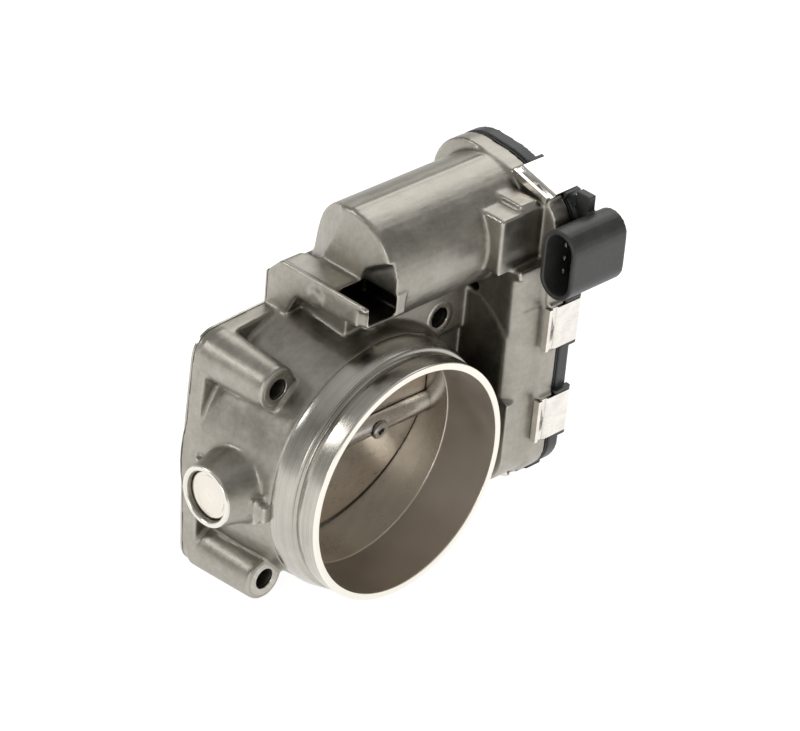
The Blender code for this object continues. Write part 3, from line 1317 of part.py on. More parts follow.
def main():
    """Build every piece in place."""
    clear_scene()
    clips = clip_seats()
    build_housing(clips)
    build_cover(clips)
    build_cover_seal()
    for index, seat in enumerate(clips):
        seat.clip(f"cover_clip_{index + 1}")
    throttle = axis_empty("throttle_axis", (0.0, SHAFT_Y, 0.0), REST_ANGLE)
    idler = axis_empty("intermediate_axis", (0.0, IDLER_Y, IDLER_Z))
    motor = axis_empty("motor_axis", (0.0, MOTOR_Y, MOTOR_Z))
    bpy.context.view_layer.update()
    build_throttle(throttle)
    build_throttle_gear(throttle)
    build_shaft_line()
    build_return_spring()
    build_stop_screw()
    build_idler(idler)
    build_motor(motor)
    build_cover_electrics()
    bpy.context.view_layer.update()


main()
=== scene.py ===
"""Drive-by-wire throttle body: cast housing, butterfly valve, geared actuator and clipped cover."""
import logging
from dataclasses import dataclass, field
from enum import Enum
from math import cos, pi, radians, sin
from typing import Sequence

import bmesh
import bpy
import numpy as np
from mathutils import Matrix, Vector


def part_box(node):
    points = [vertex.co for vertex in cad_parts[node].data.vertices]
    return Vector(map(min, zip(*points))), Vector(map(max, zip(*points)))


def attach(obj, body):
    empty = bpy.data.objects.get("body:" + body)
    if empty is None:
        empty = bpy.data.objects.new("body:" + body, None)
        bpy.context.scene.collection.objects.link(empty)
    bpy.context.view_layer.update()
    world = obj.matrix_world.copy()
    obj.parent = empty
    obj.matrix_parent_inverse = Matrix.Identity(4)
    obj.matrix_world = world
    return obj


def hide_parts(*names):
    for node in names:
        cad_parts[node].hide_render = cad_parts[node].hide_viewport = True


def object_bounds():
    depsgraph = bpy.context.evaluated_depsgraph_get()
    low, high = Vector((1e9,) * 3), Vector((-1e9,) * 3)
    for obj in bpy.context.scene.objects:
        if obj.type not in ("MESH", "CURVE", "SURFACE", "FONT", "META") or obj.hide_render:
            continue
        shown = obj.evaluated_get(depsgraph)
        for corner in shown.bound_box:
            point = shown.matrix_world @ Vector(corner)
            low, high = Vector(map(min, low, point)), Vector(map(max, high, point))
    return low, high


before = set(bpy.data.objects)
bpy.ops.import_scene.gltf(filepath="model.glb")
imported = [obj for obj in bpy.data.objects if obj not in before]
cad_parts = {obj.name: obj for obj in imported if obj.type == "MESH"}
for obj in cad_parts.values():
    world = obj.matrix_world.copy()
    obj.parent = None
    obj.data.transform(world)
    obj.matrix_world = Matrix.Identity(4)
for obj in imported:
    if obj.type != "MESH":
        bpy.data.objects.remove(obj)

CAD_LOW, CAD_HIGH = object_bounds()
LOG = logging.getLogger("throttle_body")
MM = 0.001
WELD = 1e-6
SHARP_ANGLE = radians(32.0)
METAL = 1.0
NOISE_MEAN = 0.5
SKY_SAMPLES = 6
BEVEL_SAMPLES = 4
CLOSED_START, CLOSED_FULL = 0.16, 0.80
ROD_FACETS = 48
SIDE_SHARE = 0.49
ON_AXIS = (0.0, 0.0)
Band = tuple[float, float]
Colour = tuple[float, float, float]
Triple = tuple[float, float, float]
Box = tuple[Triple, Triple]


def mm(x: float, y: float, z: float) -> Triple:
    """A point given in millimetres, in metres."""
    return x * MM, y * MM, z * MM


class Axis(Enum):
    """Row axis that a turned piece is turned about."""

    X = 0
    Y = 1


# ---------------------------------------------------------------- shader maths
class Wire:
    """One shader value: wraps an output socket, and adds a Math node for each operator."""

    def __init__(self, graph: "Graph", socket: bpy.types.NodeSocket) -> None:
        """Keeps the graph and the socket."""
        self.graph = graph
        self.socket = socket

    def _math(self, operation: str, first: "Wire | float", second: "Wire | float" = 0.0) -> "Wire":
        """Adds one Math node and wraps its output."""
        node = self.graph.add("ShaderNodeMath", {"operation": operation}, {0: first, 1: second})
        return Wire(self.graph, node.outputs[0])

    def __add__(self, other: "Wire | float") -> "Wire":
        """Sum."""
        return self._math("ADD", self, other)

    __radd__ = __add__

    def __sub__(self, other: "Wire | float") -> "Wire":
        """Difference."""
        return self._math("SUBTRACT", self, other)

    def __rsub__(self, other: "Wire | float") -> "Wire":
        """Difference from a number."""
        return self._math("SUBTRACT", other, self)

    def __mul__(self, other: "Wire | float") -> "Wire":
        """Product."""
        return self._math("MULTIPLY", self, other)

    __rmul__ = __mul__

    def power(self, exponent: float) -> "Wire":
        """Power."""
        return self._math("POWER", self, exponent)

    def most(self, other: "Wire | float") -> "Wire":
        """Larger of two values."""
        return self._math("MAXIMUM", self, other)

    def step(self, low: float, high: float) -> "Wire":
        """Smooth step from 0 at low to 1 at high.

        Args:
            low: value where the step starts.
            high: value where it ends.

        Returns:
            The step.
        """
        node = self.graph.add("ShaderNodeMapRange", {"interpolation_type": "SMOOTHSTEP"},
                              {"Value": self, "From Min": low, "From Max": high})
        return Wire(self.graph, node.outputs["Result"])


class Graph:
    """The node tree of one material."""

    def __init__(self, name: str) -> None:
        """Makes an empty material.

        Args:
            name: name of the material.
        """
        self.material = bpy.data.materials.new(name)
        self.material.use_nodes = True
        self.tree = self.material.node_tree
        self.tree.nodes.clear()

    def add(self, kind: str, settings: dict | None = None, inputs: dict | None = None) -> bpy.types.Node:
        """Adds one node.

        Args:
            kind: node type.
            settings: properties of the node, set first.
            inputs: values or wires by socket name or number.

        Returns:
            The node.
        """
        node = self.tree.nodes.new(kind)
        for key, value in (settings or {}).items():
            setattr(node, key, value)
        for key, value in (inputs or {}).items():
            if isinstance(value, Wire):
                self.tree.links.new(value.socket, node.inputs[key])
            else:
                node.inputs[key].default_value = value
        return node

    def place(self) -> Wire:
        """Object coordinates in metres."""
        return Wire(self, self.add("ShaderNodeTexCoord").outputs["Object"])

    def parts(self, vector: Wire) -> tuple[Wire, Wire, Wire]:
        """The three parts of a vector."""
        node = self.add("ShaderNodeSeparateXYZ", None, {0: vector})
        return Wire(self, node.outputs[0]), Wire(self, node.outputs[1]), Wire(self, node.outputs[2])

    def vector(self, x: Wire | float, y: Wire | float, z: Wire | float) -> Wire:
        """A vector from three parts."""
        return Wire(self, self.add("ShaderNodeCombineXYZ", None, {0: x, 1: y, 2: z}).outputs[0])

    def noise(self, where: Wire, grain: float, detail: float = 3.0, rough: float = 0.55) -> Wire:
        """Fractal noise whose largest grain is about the given size.

        Args:
            where: coordinates in metres.
            grain: grain size in metres.
            detail: number of octaves.
            rough: share that each octave keeps.

        Returns:
            The value, about 0 to 1.
        """
        node = self.add("ShaderNodeTexNoise", {"noise_dimensions": "3D"},
                        {"Vector": where, "Scale": 1.0 / grain, "Detail": detail, "Roughness": rough})
        return Wire(self, node.outputs["Fac"])

    def cells(self, where: Wire, pitch: float) -> Wire:
        """Distance from the nearest of scattered points, in cell widths."""
        node = self.add("ShaderNodeTexVoronoi", {"feature": "F1"}, {"Vector": where, "Scale": 1.0 / pitch})
        return Wire(self, node.outputs["Distance"])

    def edges(self) -> Wire:
        """How convex the surface is: above a half on edges, below it in corners."""
        return Wire(self, self.add("ShaderNodeNewGeometry").outputs["Pointiness"])

    def open_sky(self, reach: float) -> Wire:
        """Share of the surroundings open within a reach in metres: 1 in the open, 0 in a crevice."""
        settings = {"samples": SKY_SAMPLES, "only_local": False}
        node = self.add("ShaderNodeAmbientOcclusion", settings, {"Distance": reach})
        return Wire(self, node.outputs["AO"])

    def painted_crevice_shade(self, colour: Wire, shadow: Colour, reach: float, share: float) -> Wire:
        """Paints shade into a colour where the surroundings close in on it.

        Args:
            colour: colour in the open.
            shadow: colour deep in a crevice.
            reach: how far the surroundings count, in metres.
            share: most of the change.

        Returns:
            The colour.
        """
        closed = 1.0 - self.open_sky(reach)
        return self.blend(closed.step(CLOSED_START, CLOSED_FULL) * share, colour, shadow)

    def within(self, where: Wire, low: Triple, high: Triple, fade: float) -> Wire:
        """Mask of a box: 1 inside, 0 outside.

        Args:
            where: coordinates in metres.
            low: lower corner.
            high: upper corner.
            fade: width of the soft edge.

        Returns:
            The mask.
        """
        inside: Wire | float = 1.0
        for part, start, end in zip(self.parts(where), low, high):
            inside = part.step(start, start + fade) * (1.0 - part.step(end - fade, end)) * inside
        return inside

    def rounded(self, radius: float) -> Wire:
        """Normal of the surface with its sharp edges rounded over a radius in metres."""
        node = self.add("ShaderNodeBevel", {"samples": BEVEL_SAMPLES}, {"Radius": radius})
        return Wire(self, node.outputs[0])

    def blend(self, share: Wire | float, first: Colour | Wire, second: Colour | Wire) -> Wire:
        """Colour between two colours.

        Args:
            share: 0 for the first colour, 1 for the second.
            first: first colour.
            second: second colour.

        Returns:
            The colour.
        """
        node = self.add("ShaderNodeMix", {"data_type": "RGBA", "clamp_factor": True})
        sockets = [s for s in node.inputs if s.enabled]
        for socket, value in zip(sockets, (share, first, second)):
            if isinstance(value, Wire):
                self.tree.links.new(value.socket, socket)
            elif isinstance(value, tuple):
                socket.default_value = (*value, 1.0)
            else:
                socket.default_value = value
        return Wire(self, next(s for s in node.outputs if s.enabled))

    def bump(self, height: Wire, depth: float, normal: Wire | None = None, strength: float = 1.0) -> Wire:
        """Normal of a relief.

        Args:
            height: relief, 0 to 1.
            depth: metres per unit of relief.
            normal: normal below the relief.
            strength: share of the relief that shows.

        Returns:
            The normal.
        """
        inputs = {"Height": height, "Distance": depth, "Strength": strength}
        if normal is not None:
            inputs["Normal"] = normal
        return Wire(self, self.add("ShaderNodeBump", None, inputs).outputs[0])

    def finish(self, colour: Wire | Colour, roughness: Wire | float, normal: Wire | None,
               metallic: float = 0.0, extra: dict | None = None) -> bpy.types.Material:
        """Closes the material with one Principled shader.

        Args:
            colour: base colour.
            roughness: roughness.
            normal: normal, or None for the mesh's own.
            metallic: 1 for a metal.
            extra: further constant inputs of the shader.

        Returns:
            The material.
        """
        inputs: dict = {"Base Color": colour if isinstance(colour, Wire) else (*colour, 1.0),
                        "Roughness": roughness, "Metallic": metallic}
        inputs.update(extra or {})
        if normal is not None:
            inputs["Normal"] = normal
        shader = self.add("ShaderNodeBsdfPrincipled", None, inputs)
        output = self.add("ShaderNodeOutputMaterial")
        self.tree.links.new(shader.outputs[0], output.inputs["Surface"])
        return self.material


# ---------------------------------------------------------------- finishes
@dataclass(frozen=True)
class CastMetal:
    """Die-cast aluminium: mottled skin, fine grain, painted highlights on edges and painted shade in
    recesses.
    """

    name: str = "cast_aluminium"
    dark: Colour = (0.310, 0.290, 0.252)
    light: Colour = (0.470, 0.443, 0.392)
    edge_highlight: Colour = (0.66, 0.630, 0.570)
    shadow: Colour = (0.130, 0.120, 0.096)
    corner: Colour = (0.16, 0.15, 0.135)
    pit: Colour = (0.20, 0.19, 0.175)
    pocket_shade: Colour = (0.012, 0.011, 0.010)
    roughness: float = 0.40
    smoothest: float = 0.22
    reach: float = 13.0 * MM
    patch: float = 9.0 * MM
    mottle: float = 1.6 * MM
    flow: float = 2.6 * MM
    flow_x: float = 0.35
    flow_z: float = 0.8
    mix: Triple = (0.55, 0.35, 0.25)
    mix_shift: float = 0.10
    mix_band: Band = (0.22, 0.78)
    grain: float = 0.45 * MM
    grain_depth: float = 0.028 * MM
    wave_depth: float = 0.16 * MM
    wave_share: float = 0.55
    pit_pitch: float = 1.3 * MM
    pit_depth: float = 0.05 * MM
    pit_size: Band = (0.05, 0.22)
    pit_patch: Band = (0.50, 0.62)
    edge_highlight_band: Band = (0.515, 0.57)
    shiny_band: Band = (0.515, 0.56)
    corner_shade_band: Band = (0.44, 0.495)
    edge_highlight_share: float = 0.50
    corner_shade_share: float = 0.55
    pit_share: float = 0.35
    shadow_share: float = 0.60
    pocket_shade_share: float = 0.93
    shine: float = 0.10
    rough_mottle: float = 0.16
    rough_patch: float = 0.18
    pocket_low: Triple = (-9.9 * MM, -45.6 * MM, 57.2 * MM)
    pocket_high: Triple = (5.0 * MM, -27.5 * MM, 64.6 * MM)
    pocket_fade: float = 0.4 * MM

    def build(self) -> bpy.types.Material:
        """Makes the material.

        Returns:
            The material.
        """
        graph = Graph(self.name)
        where = graph.place()
        x, y, z = graph.parts(where)
        patches = graph.noise(where, self.patch, detail=4.0, rough=0.6)
        mottling = graph.noise(where, self.mottle, detail=3.0, rough=0.6)
        flow = graph.noise(graph.vector(x * self.flow_x, y, z * self.flow_z), self.flow, detail=2.0)
        grain = graph.noise(where, self.grain, detail=2.0, rough=0.7)
        pits = 1.0 - graph.cells(where, self.pit_pitch).step(*self.pit_size)
        pits = pits * patches.step(*self.pit_patch)
        edge = graph.edges()
        share = patches * self.mix[0] + mottling * self.mix[1] + flow * self.mix[2] - self.mix_shift
        colour = graph.blend(share.step(*self.mix_band), self.dark, self.light)
        # Painted highlight: a lighter colour along convex edges.
        colour = graph.blend(edge.step(*self.edge_highlight_band) * self.edge_highlight_share, colour, self.edge_highlight)
        # Painted shade: a darker colour in concave corners.
        corners = 1.0 - edge.step(*self.corner_shade_band)
        colour = graph.blend(corners * self.corner_shade_share, colour, self.corner)
        colour = graph.blend(pits * self.pit_share, colour, self.pit)
        # Painted shade in crevices.
        colour = graph.painted_crevice_shade(colour, self.shadow, self.reach, self.shadow_share)
        # Painted shade: a near-black colour inside the box of the motor-end pocket.
        pocket = graph.within(where, self.pocket_low, self.pocket_high, self.pocket_fade)
        colour = graph.blend(pocket * self.pocket_shade_share, colour, self.pocket_shade)
        rough = self.roughness + (mottling - NOISE_MEAN) * self.rough_mottle
        rough = rough + (patches - NOISE_MEAN) * self.rough_patch
        rough = rough - edge.step(*self.shiny_band) * self.shine
        normal = graph.bump(flow, self.wave_depth, None, self.wave_share)
        sunk = pits * (self.pit_depth / self.grain_depth) * NOISE_MEAN
        normal = graph.bump(grain - sunk, self.grain_depth, normal)
        return graph.finish(colour, rough.most(self.smoothest), normal, METAL)


@dataclass(frozen=True)
class TurnedMetal:
    """Machined aluminium with tool rings about the piece's own axis."""

    name: str
    axis: Axis
    centre: tuple[float, float] = (0.0, 0.0)
    colour: Colour = (0.330, 0.312, 0.276)
    bright: Colour = (0.580, 0.552, 0.498)
    roughness: float = 0.24
    smoothest: float = 0.12
    ring: float = 0.35 * MM
    ring_depth: float = 0.006 * MM
    broad: float = 3.0 * MM
    broad_relief: float = 0.8
    smear: float = 11.0 * MM
    haze: float = 0.7 * MM
    mix: Triple = (0.6, 0.5, 0.3)
    mix_band: Band = (0.35, 1.0)
    rough_mix: Triple = (0.16, 0.20, 0.05)
    anisotropy: float = 0.35
    edge_round: float = 0.15 * MM
    cast_within: float = 0.0
    cast_before: float = 0.0
    cast_lift: float = 1.25
    cast_rough: float = 0.26
    lip_end: float = -59.75 * MM
    lip_fade: float = 0.3 * MM
    wall_fade: float = 0.2 * MM
    end_fade: float = 0.15 * MM
    bore_tone_and_rim_highlight: Colour = (0.88, 0.84, 0.76)
    cast: Colour = (0.470, 0.420, 0.368)

    def build(self) -> bpy.types.Material:
        """Makes the material. The rings are noise read from (radius, length), so it is the same all round.

        Returns:
            The material.
        """
        graph = Graph(self.name)
        where = graph.place()
        parts = graph.parts(where)
        along = parts[self.axis.value]
        others = [part for number, part in enumerate(parts) if number != self.axis.value]
        first = others[0] - self.centre[0]
        second = others[1] - self.centre[1]
        radius = (first * first + second * second).power(0.5)
        line = graph.vector(radius, along, 0.0)
        fine = graph.noise(line, self.ring, detail=4.0, rough=0.75)
        broad = graph.noise(line, self.broad, detail=2.0, rough=0.5)
        smear = graph.noise(where, self.smear, detail=3.0, rough=0.6)
        haze = graph.noise(where, self.haze, detail=2.0, rough=0.6)
        share = fine * self.mix[0] + broad * self.mix[1] + smear * self.mix[2]
        colour = graph.blend(share.step(*self.mix_band), self.colour, self.bright)
        rough = self.roughness + (fine - NOISE_MEAN) * self.rough_mix[0]
        rough = rough + (smear - NOISE_MEAN) * self.rough_mix[1] + (haze - NOISE_MEAN) * self.rough_mix[2]
        if self.cast_within:
            # The bored inside takes a brighter machined colour; the inlet's front rim takes the same colour
            # as a painted highlight.
            rim = 1.0 - along.step(self.lip_end, self.lip_end + self.lip_fade)
            wall = 1.0 - radius.step(self.cast_within, self.cast_within + self.wall_fade)
            colour = graph.blend(wall.most(rim), colour, self.bore_tone_and_rim_highlight)
            front = 1.0 - along.step(self.cast_before - self.end_fade, self.cast_before)
            entry = wall * front * (1.0 - rim)
            lifted = tuple(part * self.cast_lift for part in self.cast)
            colour = graph.blend(entry, colour, graph.blend(smear, self.cast, lifted))
            rough = rough + entry * self.cast_rough
        normal = graph.bump(fine + broad * self.broad_relief, self.ring_depth, graph.rounded(self.edge_round))
        extra = {"Anisotropic": self.anisotropy}
        return graph.finish(colour, rough.most(self.smoothest), normal, METAL, extra)


@dataclass(frozen=True)
class FlatMetal:
    """Milled, stamped or drawn metal with straight fine scratches along x."""

    name: str
    colour: Colour
    roughness: float = 0.3
    smoothest: float = 0.08
    stretch: float = 0.04
    scratch: float = 0.12 * MM
    scratch_depth: float = 0.004 * MM
    stain: float = 5.0 * MM
    mix: Band = (0.45, 0.75)
    mix_band: Band = (0.30, 0.85)
    dulled: float = 0.736
    rough_mix: Band = (0.14, 0.22)
    edge_round: float = 0.2 * MM
    reach: float = 3.0 * MM
    shadow: Colour = (0.035, 0.032, 0.028)
    shadow_share: float = 0.85

    def build(self) -> bpy.types.Material:
        """Makes the material.

        Returns:
            The material.
        """
        graph = Graph(self.name)
        where = graph.place()
        x, y, z = graph.parts(where)
        lines = graph.noise(graph.vector(x * self.stretch, y, z), self.scratch, detail=3.0, rough=0.7)
        stain = graph.noise(where, self.stain, detail=4.0, rough=0.6)
        dull = tuple(part * self.dulled for part in self.colour)
        share = lines * self.mix[0] + stain * self.mix[1]
        colour = graph.blend(share.step(*self.mix_band), dull, self.colour)
        # Painted shade in crevices.
        colour = graph.painted_crevice_shade(colour, self.shadow, self.reach, self.shadow_share)
        rough = self.roughness + (lines - NOISE_MEAN) * self.rough_mix[0]
        rough = rough + (stain - NOISE_MEAN) * self.rough_mix[1]
        normal = graph.bump(lines, self.scratch_depth, graph.rounded(self.edge_round))
        return graph.finish(colour, rough.most(self.smoothest), normal, METAL)


@dataclass(frozen=True)
class MouldedPlastic:
    """Moulded plastic: fine spark texture, faint flow marks and painted shade in recesses."""

    name: str
    colour: Colour
    roughness: float = 0.45
    smoothest: float = 0.15
    texture: float = 0.22 * MM
    texture_depth: float = 0.012 * MM
    flow: float = 7.0 * MM
    dust: float = 1.1 * MM
    mix: Band = (0.7, 0.4)
    mix_band: Band = (0.35, 0.85)
    pale_gain: float = 1.7
    pale_lift: float = 0.012
    pale_share: float = 0.7
    rough_mix: Band = (0.20, 0.12)
    edge_round: float = 0.25 * MM
    reach: float = 9.0 * MM
    shadow_gain: float = 0.12
    shadow_share: float = 0.95

    def build(self) -> bpy.types.Material:
        """Makes the material.

        Returns:
            The material.
        """
        graph = Graph(self.name)
        where = graph.place()
        spark = graph.noise(where, self.texture, detail=3.0, rough=0.7)
        flow = graph.noise(where, self.flow, detail=4.0, rough=0.65)
        dust = graph.noise(where, self.dust, detail=3.0, rough=0.7)
        pale = tuple(min(1.0, part * self.pale_gain + self.pale_lift) for part in self.colour)
        shadow = tuple(part * self.shadow_gain for part in self.colour)
        share = (flow * self.mix[0] + dust * self.mix[1]).step(*self.mix_band)
        colour = graph.blend(share * self.pale_share, self.colour, pale)
        # Painted shade in crevices.
        colour = graph.painted_crevice_shade(colour, shadow, self.reach, self.shadow_share)
        rough = self.roughness + (flow - NOISE_MEAN) * self.rough_mix[0]
        rough = rough + (spark - NOISE_MEAN) * self.rough_mix[1]
        normal = graph.bump(spark, self.texture_depth, graph.rounded(self.edge_round))
        return graph.finish(colour, rough.most(self.smoothest), normal)


@dataclass(frozen=True)
class SoftRubber:
    """Moulded black rubber with a faint grey bloom."""

    name: str = "seal_rubber"
    colour: Colour = (0.014, 0.014, 0.015)
    bloomed: Colour = (0.05, 0.05, 0.052)
    roughness: float = 0.62
    rough_mix: float = 0.2
    skin: float = 0.3 * MM
    skin_depth: float = 0.02 * MM
    bloom: float = 4.0 * MM
    bloom_band: Band = (0.45, 0.8)
    bloom_share: float = 0.4

    def build(self) -> bpy.types.Material:
        """Makes the material.

        Returns:
            The material.
        """
        graph = Graph(self.name)
        where = graph.place()
        skin = graph.noise(where, self.skin)
        bloom = graph.noise(where, self.bloom)
        colour = graph.blend(bloom.step(*self.bloom_band) * self.bloom_share, self.colour, self.bloomed)
        rough = self.roughness + (bloom - NOISE_MEAN) * self.rough_mix
        return graph.finish(colour, rough, graph.bump(skin, self.skin_depth))


# ---------------------------------------------------------------- surfaces
def grid_piece(name: str, points: np.ndarray, wrap_u: bool, wrap_v: bool) -> bpy.types.Object:
    """Puts a grid of points into a mesh, one quad per cell.

    Args:
        name: name of the piece.
        points: array of shape (u, v, 3), in metres.
        wrap_u: whether the last row joins the first.
        wrap_v: whether the last column joins the first.

    Returns:
        The new object, with doubled points merged and faces turned outwards.
    """
    rows, columns = points.shape[:2]
    index = np.arange(rows * columns).reshape(rows, columns)
    if wrap_u:
        index = np.vstack([index, index[:1]])
    if wrap_v:
        index = np.hstack([index, index[:, :1]])
    quads = np.stack([index[:-1, :-1], index[1:, :-1], index[1:, 1:], index[:-1, 1:]], axis=-1).reshape(-1, 4)
    return close_piece(name, points.reshape(-1, 3).tolist(), quads.tolist())


def placed(name: str, mesh: bpy.types.Mesh) -> bpy.types.Object:
    """Puts a mesh into the scene as an object at the origin.

    Args:
        name: name of the object.
        mesh: its mesh.

    Returns:
        The object.
    """
    piece = bpy.data.objects.new(name, mesh)
    bpy.context.scene.collection.objects.link(piece)
    return piece


def close_piece(name: str, points: Sequence[Triple], faces: Sequence[Sequence[int]]) -> bpy.types.Object:
    """Merges doubled points, turns the faces outwards and shades the piece smooth between sharp edges.

    Args:
        name: name of the piece.
        points: its points.
        faces: the points of each face, by number.

    Returns:
        The piece.
    """
    mesh = bpy.data.meshes.new(name)
    mesh.from_pydata(points, [], faces)
    bm = bmesh.new()
    bm.from_mesh(mesh)
    bmesh.ops.remove_doubles(bm, verts=bm.verts, dist=WELD)
    bmesh.ops.dissolve_degenerate(bm, edges=bm.edges, dist=WELD)
    bmesh.ops.recalc_face_normals(bm, faces=bm.faces)
    bm.to_mesh(mesh)
    bm.free()
    mesh.shade_smooth()
    mesh.set_sharp_from_angle(angle=SHARP_ANGLE)
    return placed(name, mesh)


def rounded_profile(corners: Sequence[Triple], steps: int) -> np.ndarray:
    """Rounds each corner of a closed profile with a quadratic arc between points before and after it.

    Args:
        corners: (along, radius, reach) in order, where an arc starts and ends a reach away from its corner.
        steps: points on each arc.

    Returns:
        Array of shape (corners * steps, 2).
    """
    rows = np.array(corners, float)
    here, reach = rows[:, :2], rows[:, 2:]
    before = np.roll(here, 1, axis=0) - here
    after = np.roll(here, -1, axis=0) - here
    long_before = np.linalg.norm(before, axis=1, keepdims=True)
    long_after = np.linalg.norm(after, axis=1, keepdims=True)
    start = here + before / long_before * np.minimum(reach, long_before * SIDE_SHARE)
    end = here + after / long_after * np.minimum(reach, long_after * SIDE_SHARE)
    gone = np.linspace(0.0, 1.0, steps)[None, :, None]
    left = 1.0 - gone
    arcs = left ** 2 * start[:, None] + 2 * gone * left * here[:, None] + gone ** 2 * end[:, None]
    return arcs.reshape(-1, 2)


def turned(name: str, profile: np.ndarray, axis: Axis, centre: tuple[float, float],
           steps: int) -> bpy.types.Object:
    """Carries a closed profile of (along, radius) round an axis: centre + radius * (cos turn, sin turn).

    Args:
        name: name of the piece.
        profile: array of shape (n, 2).
        axis: axis of turning.
        centre: place of the axis on the other two row axes.
        steps: points round the turn.

    Returns:
        The piece.
    """
    turn = np.linspace(0.0, 2 * pi, steps, endpoint=False)
    along = np.repeat(profile[:, :1], steps, axis=1)
    first = centre[0] + profile[:, 1:] * np.cos(turn)
    second = centre[1] + profile[:, 1:] * np.sin(turn)
    order = (along, first, second) if axis is Axis.X else (first, along, second)
    return grid_piece(name, np.stack(order, axis=-1), True, True)


def merged_copy(node: str, name: str) -> bpy.types.Object:
    """Copy of a CAD node with its loose triangles joined and its flat faces whole.

    Args:
        node: CAD node.
        name: name of the copy.

    Returns:
        The copy.
    """
    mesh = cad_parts[node].data.copy()
    mesh.name = name
    mesh.materials.clear()
    bm = bmesh.new()
    bm.from_mesh(mesh)
    bmesh.ops.remove_doubles(bm, verts=bm.verts, dist=WELD)
    bm.to_mesh(mesh)
    bm.free()
    for extra in list(mesh.attributes):
        if extra.name in ("custom_normal", "sharp_face", "sharp_edge"):
            mesh.attributes.remove(extra)
    mesh.shade_smooth()
    mesh.set_sharp_from_angle(angle=SHARP_ANGLE)
    return placed(name, mesh)


def applied(piece: bpy.types.Object) -> bpy.types.Object:
    """Applies every modifier of a piece.

    Args:
        piece: the piece, which keeps its name.

    Returns:
        The piece.
    """
    graph = bpy.context.evaluated_depsgraph_get()
    mesh = bpy.data.meshes.new_from_object(piece.evaluated_get(graph))
    piece.modifiers.clear()
    old = piece.data
    piece.data = mesh
    bpy.data.meshes.remove(old)
    return piece


def carve(piece: bpy.types.Object, tool: bpy.types.Object, operation: str = "DIFFERENCE") -> bpy.types.Object:
    """Cuts a tool solid out of a piece, joins it on, or keeps only what both hold, and removes the tool.

    Args:
        piece: closed solid.
        tool: closed solid.
        operation: DIFFERENCE, UNION or INTERSECT.

    Returns:
        The piece.
    """
    modifier = piece.modifiers.new("carve", "BOOLEAN")
    modifier.operation = operation
    modifier.solver = "EXACT"
    modifier.object = tool
    applied(piece)
    mesh = tool.data
    bpy.data.objects.remove(tool)
    bpy.data.meshes.remove(mesh)
    return piece


def soften(piece: bpy.types.Object, voxel: float, passes: int, keep: float = 1.0) -> bpy.types.Object:
    """Gives a piece the rounded edges and filled corners of a casting or moulding.

    Args:
        piece: closed solid.
        voxel: size of the new faces, in metres.
        passes: how many times each point moves halfway to the mean of its neighbours.
        keep: share of the faces that stays.

    Returns:
        The piece.
    """
    remesh = piece.modifiers.new("voxels", "REMESH")
    remesh.mode = "VOXEL"
    remesh.voxel_size = voxel
    remesh.use_smooth_shade = True
    smooth = piece.modifiers.new("round", "SMOOTH")
    smooth.factor = 0.5
    smooth.iterations = passes
    if keep < 1.0:
        thin = piece.modifiers.new("thin", "DECIMATE")
        thin.ratio = keep
    return applied(piece)


def block(name: str, low: Sequence[float], high: Sequence[float]) -> bpy.types.Object:
    """Box between two corners, as a tool.

    Args:
        name: name of the tool.
        low: lowest corner.
        high: highest corner.

    Returns:
        The tool.
    """
    bm = bmesh.new()
    size = Vector(high) - Vector(low)
    place = Matrix.Translation((Vector(low) + Vector(high)) / 2) @ Matrix.Diagonal((*size, 1.0))
    bmesh.ops.create_cube(bm, size=1.0, matrix=place)
    mesh = bpy.data.meshes.new(name)
    bm.to_mesh(mesh)
    bm.free()
    return placed(name, mesh)


def upright(name: str, place: Sequence[float], outward: Sequence[float], radius: float,
            reach: float, lobes: int = 0, depth: float = 0.0) -> bpy.types.Object:
    """Rod through a point along a direction in the (y, z) plane, as a cutting tool.

    Args:
        name: name of the tool.
        place: middle of the rod.
        outward: (y, z) direction of its axis.
        radius: mean radius; with lobes the radius is radius + depth * cos(lobes * turn).
        reach: length each way.
        lobes: number of lobes of a star shape, 0 for a round rod.
        depth: size of the lobes.

    Returns:
        The tool.
    """
    turn = np.linspace(0.0, 2 * pi, ROD_FACETS, endpoint=False)
    size = radius + depth * np.cos(lobes * turn)
    side = np.array([0.0, -outward[1], outward[0]])
    axis = np.array([0.0, outward[0], outward[1]])
    ring = size[:, None] * (np.cos(turn)[:, None] * np.array([1.0, 0.0, 0.0]) + np.sin(turn)[:, None] * side)
    points = np.vstack([ring - axis * reach, ring + axis * reach]) + np.array(place)
    first = np.arange(ROD_FACETS)
    last = first + ROD_FACETS
    quads = np.stack([first, np.roll(first, -1), np.roll(last, -1), last], axis=-1).tolist()
    return close_piece(name, points.tolist(), quads + [first.tolist(), last.tolist()])


def dress(piece: bpy.types.Object, finish: bpy.types.Material, body: str) -> bpy.types.Object:
    """Gives a new piece its material and the body it rides on.

    Args:
        piece: the new piece.
        finish: its material.
        body: the body that carries it.

    Returns:
        The piece.
    """
    piece.data.materials.clear()
    piece.data.materials.append(finish)
    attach(piece, body)
    LOG.info("%s: %d faces on %s", piece.name, len(piece.data.polygons), body)
    return piece


